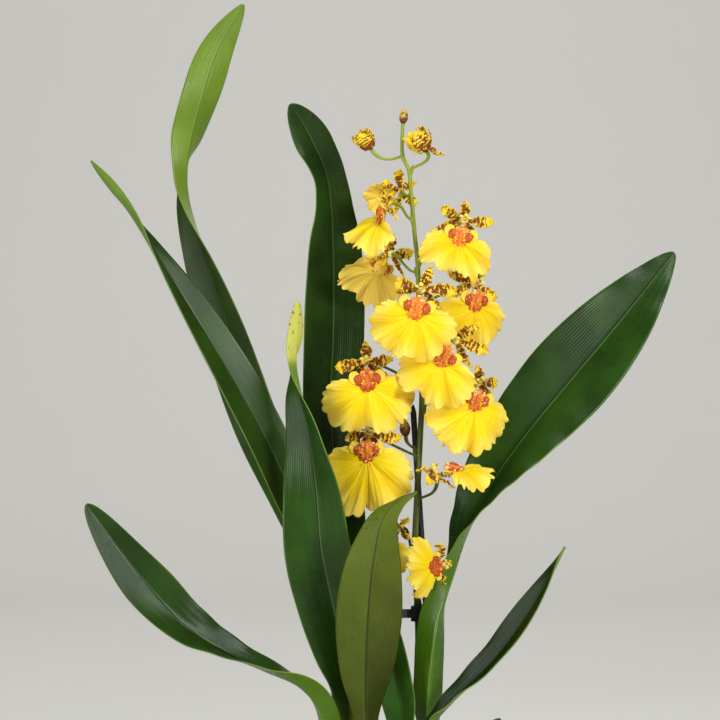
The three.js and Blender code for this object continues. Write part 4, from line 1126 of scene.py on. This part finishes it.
def tepalGrid(kind, angle, length, phase):
    # one sepal or petal in its flower's own frame, with marks for the material
    t = np.linspace(0, 1, 44)[:, None]
    v = np.linspace(-1, 1, 19)[None, :]
    out = np.array([math.sin(math.radians(angle)), math.cos(math.radians(angle)), 0])
    side = np.array([out[1], -out[0], 0])
    if kind["blunt"]:
        width = kind["half"] * (0.36 + 0.64 * smooth(0.05, 0.6, t)) * np.sqrt(1 - 0.8 * smooth(0.8, 1.03, t))
    else:
        width = kind["half"] * np.sin(np.pi * (0.1 + 0.87 * t)) ** 0.75
    beat = length * t * 1.35  # ruffles are some 4.6 mm long on every tepal
    edge = np.abs(v) ** 1.6 * smooth(0.12, 0.4, t)
    ruffle = kind["ruffle"] * edge * np.sin(
        beat + phase + 1.9 * np.sign(v) + 0.7 * np.sin(beat * 0.6 + phase))
    width = width * (1 + 0.13 * np.sin(beat * 1.25 + 2 * phase + 2.4 * np.sign(v)) * smooth(0.1, 0.4, t))
    notch = kind["blunt"] * 0.1 * np.exp(-((v + 0.2 * math.sin(phase)) / 0.35) ** 2) * t ** 5
    reach = 1 + length * t * (1 - notch) - 0.09 * length * v ** 2 * t ** 2 * (1 - 0.5 * kind["blunt"])
    twist = math.radians(kind["twist"]) * math.sin(phase * 1.7) * t ** 1.4
    sway = 0.07 * length * np.sin(2.4 * t + phase) * t
    across = v * width
    lift = (kind["lift"] + kind["arch"] * np.sin(np.pi * t) - kind["reflex"] * t * t
            + 0.3 * width * np.abs(v) + ruffle + across * np.sin(twist))
    grid = out * reach[..., None] + side * (across * np.cos(twist) + sway)[..., None]
    grid[..., 2] += lift
    rim = np.maximum(smooth(0.6, 1.0, np.abs(v)), smooth(0.55, 0.95, t))
    return grid, stacked(t * length / 12, 0.5 + across / 8), rim


def bentForward(points, pitch):
    # the lip and its callus bend out of the flower's face at the waist
    waist, height = lipForm["waist"], lipForm["height"]
    y, z = points[..., 1] - waist, points[..., 2] - height
    a = -np.radians(pitch) * (0.2 + 0.8 * smooth(2.0, -4.0, y))
    bentY, bentZ = y * np.cos(a) - z * np.sin(a), y * np.sin(a) + z * np.cos(a)
    return stacked(points[..., 0], waist + bentY, height + bentZ)


def makeTepals(name, place, turn, nod, roll, size, seed):
    rng = random.Random(seed)
    put = flowerFrame(place, turn, nod, roll, size)
    shells = Shells()
    kinds = [tepalKinds[key] for key in ("dorsal", "petal", "petal", "lateral", "lateral")]
    for kind, (angle, length) in zip(kinds, tepalsOf.get(name, tepalsOf["usual"])):
        grid, uv, rim = tepalGrid(kind, angle, length, rng.uniform(0, 6.28))
        thick = 0.45 - 0.2 * np.abs(np.linspace(-1, 1, grid.shape[1])) ** 3
        shells.plate(grid, thick, uv, 0, put, rim=rim)
    shells.skin(ball((2.1, 2.1, 2.0)), 1, put)
    column = ball((1.3, 1.2, 2.9), (0, 0, 0), 28, 20)
    pit = np.exp(-((column[..., 0] / 0.7) ** 2 + ((column[..., 2] - 1.7) / 0.7) ** 2)) * (column[..., 1] < 0)
    column[..., 1] += 0.7 * pit  # the hollow under the cap, painted dark as painted shadow
    wings = [ball((1.3, 0.6, 0.8), (hand * 1.6, -0.5, 1.5)) for hand in (-1, 1)]
    parts = [(column, {"pit": pit}), (ball((1.05, 0.95, 0.85), (0, 0, 2.7)), {"cap": 1.0})]
    for part, marks in parts + [(wing, {}) for wing in wings]:
        shells.skin(tilted(part, columnForm["lean"]) + columnForm["foot"], 1, put, **marks)
    piece = shells.make(f"petals_{name}", [petalSkin, columnSkin])
    dress(piece, "tepals", f"bloom_{name}_tepals")


def makeLip(name, put, pitch, spread, width, seed):
    grid, uv, valley, far = lipGrid(seed)
    spot = [0, lipForm["waist"], lipForm["height"]]
    thick = lipForm["edge"] + (lipForm["thickness"] - lipForm["edge"]) * (1 - np.clip(far, 0, 1) ** 3)
    blade = Shells()
    blade.plate(bentForward(grid * [spread * width, spread, spread] + spot, pitch), thick, uv, 0, put,
                valley=valley)
    a = circle(16)
    blade.skin(np.array([stacked(0.9 * np.cos(a), y, 1.6 + 0.7 * np.sin(a))  # the neck
                         for y in (-6.9, -5.5, -4, -2.5)]), 0, put)
    blade.skin(bentForward(ball(*lipForm["backing"]), pitch), 0, put, back=1.0, valley=0.5)
    for hand in (-1, 1):  # two round lobes beside the callus
        lobe = ball(lipForm["earRadii"], (0, 0, 0), 40, 14)
        around, out = np.arctan2(lobe[..., 1], lobe[..., 0]), np.hypot(lobe[..., 0], lobe[..., 1]) / 3
        lobe[..., 2] += 0.6 * out ** 2 + 0.35 * out ** 3 * np.sin(6 * around + seed + hand)
        lobe = (lobe + lipForm["ear"]) * [hand, 1, 1]
        blade.skin(bentForward(lobe[:, ::hand], pitch), 0, put)
    dress(blade.make(f"lip_{name}", [lipSkin]), "lip", f"bloom_{name}_lip")


def makeCallus(name, put, pitch, seed):
    pad = Shells()
    for (x, y, z), radii, lean, warm in callusLumps:
        for hand in ((-1, 1) if x else (1,)):
            lump = tilted(ball(radii, (0, 0, 0), 28, 16), lean) + [hand * x, y, z]
            lump[..., 2] = np.maximum(lump[..., 2], lipForm["height"] - 0.2)
            pad.skin(bentForward(lump, pitch), 0, put, warm=warm + callusShade.get(name, 0.0))
    dress(wartyPad.run(pad.make("pad", [callusSkin]), f"callus_{name}", Seed=seed), "lip")


for index, (name, (place, turn, nod, roll, size, lip, start)) in enumerate(blooms.items()):
    makeTepals(name, place, turn, nod, roll, size, index + 40)
    lipRoll, pitch, spread, width = lip
    put = flowerFrame(place, turn, nod, lipRoll, size)
    makeLip(name, put, pitch, spread, width, 1.7 * index)
    makeCallus(name, put, pitch, index + 1)
print("blooms ready")

# ---- buds


def makeBud(name, place, turn, nod, roll, size, openness):
    put = flowerFrame(place, turn, nod, roll, size)
    shells = Shells()
    t = np.linspace(0.015, 0.99, 30)[:, None]
    a = circle(40)[None, :]
    girth = np.sin(np.pi * t ** 0.85) ** 0.8 * (1 - 0.08 * np.abs(np.cos(1.5 * a)) ** 10 * np.sin(np.pi * t))
    shells.skin(stacked(3.3 * girth * np.cos(a), 3.0 * girth * np.sin(a),
                        openness - 1.4 + (12 - 4 * openness) * t), 0, put)
    t = np.linspace(0, 1, 30)[:, None]
    v = np.linspace(-1, 1, 19)[None, :]

    def addTepal(x, y, z, around, u, rim):
        shells.plate(turned(x, y, z, around), 0.4, stacked(u, 0.5 + y / 8), 1, put, rim=rim)

    for k, around in enumerate((0, 90, 180, 270) if openness else ()):
        spread = 0.4 + 3.9 * np.sin(np.pi * (0.16 + 0.64 * t)) + 2 * openness * t * t + 0.3 * (k % 2)
        y = v * 3.7 * np.sin(np.pi * (0.12 + 0.74 * t)) ** 0.8
        curl = 0.7 * np.sin(9 * t + 3 * v + 2 * k) * t ** 2
        x = np.sqrt(np.maximum(spread ** 2 - 0.75 * y ** 2, 0.3)) + curl
        z = 0.3 + 10.2 * t - 2.4 * v ** 2 * t ** 3 + 0.5 * np.sin(7 * v + k) * t ** 6
        addTepal(x, y, z, around, t, 1.4 if around in plainPetals[name] else 0.8 * smooth(0.1, 1.0, t))
    for around, length, climb, bend in looseSepals.get(name, ()):
        a = np.radians(climb + bend * t)
        x = 2.4 + np.cumsum(np.cos(a), 0) * length / len(t)
        y = v * 1.3 * np.sin(np.pi * (0.2 + 0.76 * t)) + 0.3 * np.sin(8 * t)
        z = 0.6 + np.cumsum(np.sin(a), 0) * length / len(t) + 0.4 * v ** 2
        addTepal(x, y, z, around, t * length / 12, 0.5 * smooth(0.5, 1.0, t))
    dress(shells.make(f"flower_bud_{name}", [budSkin, petalSkin]), "bud", f"bud_{name}")


for name, value in buds.items():
    makeBud(name, *value[:6])
print("buds ready")
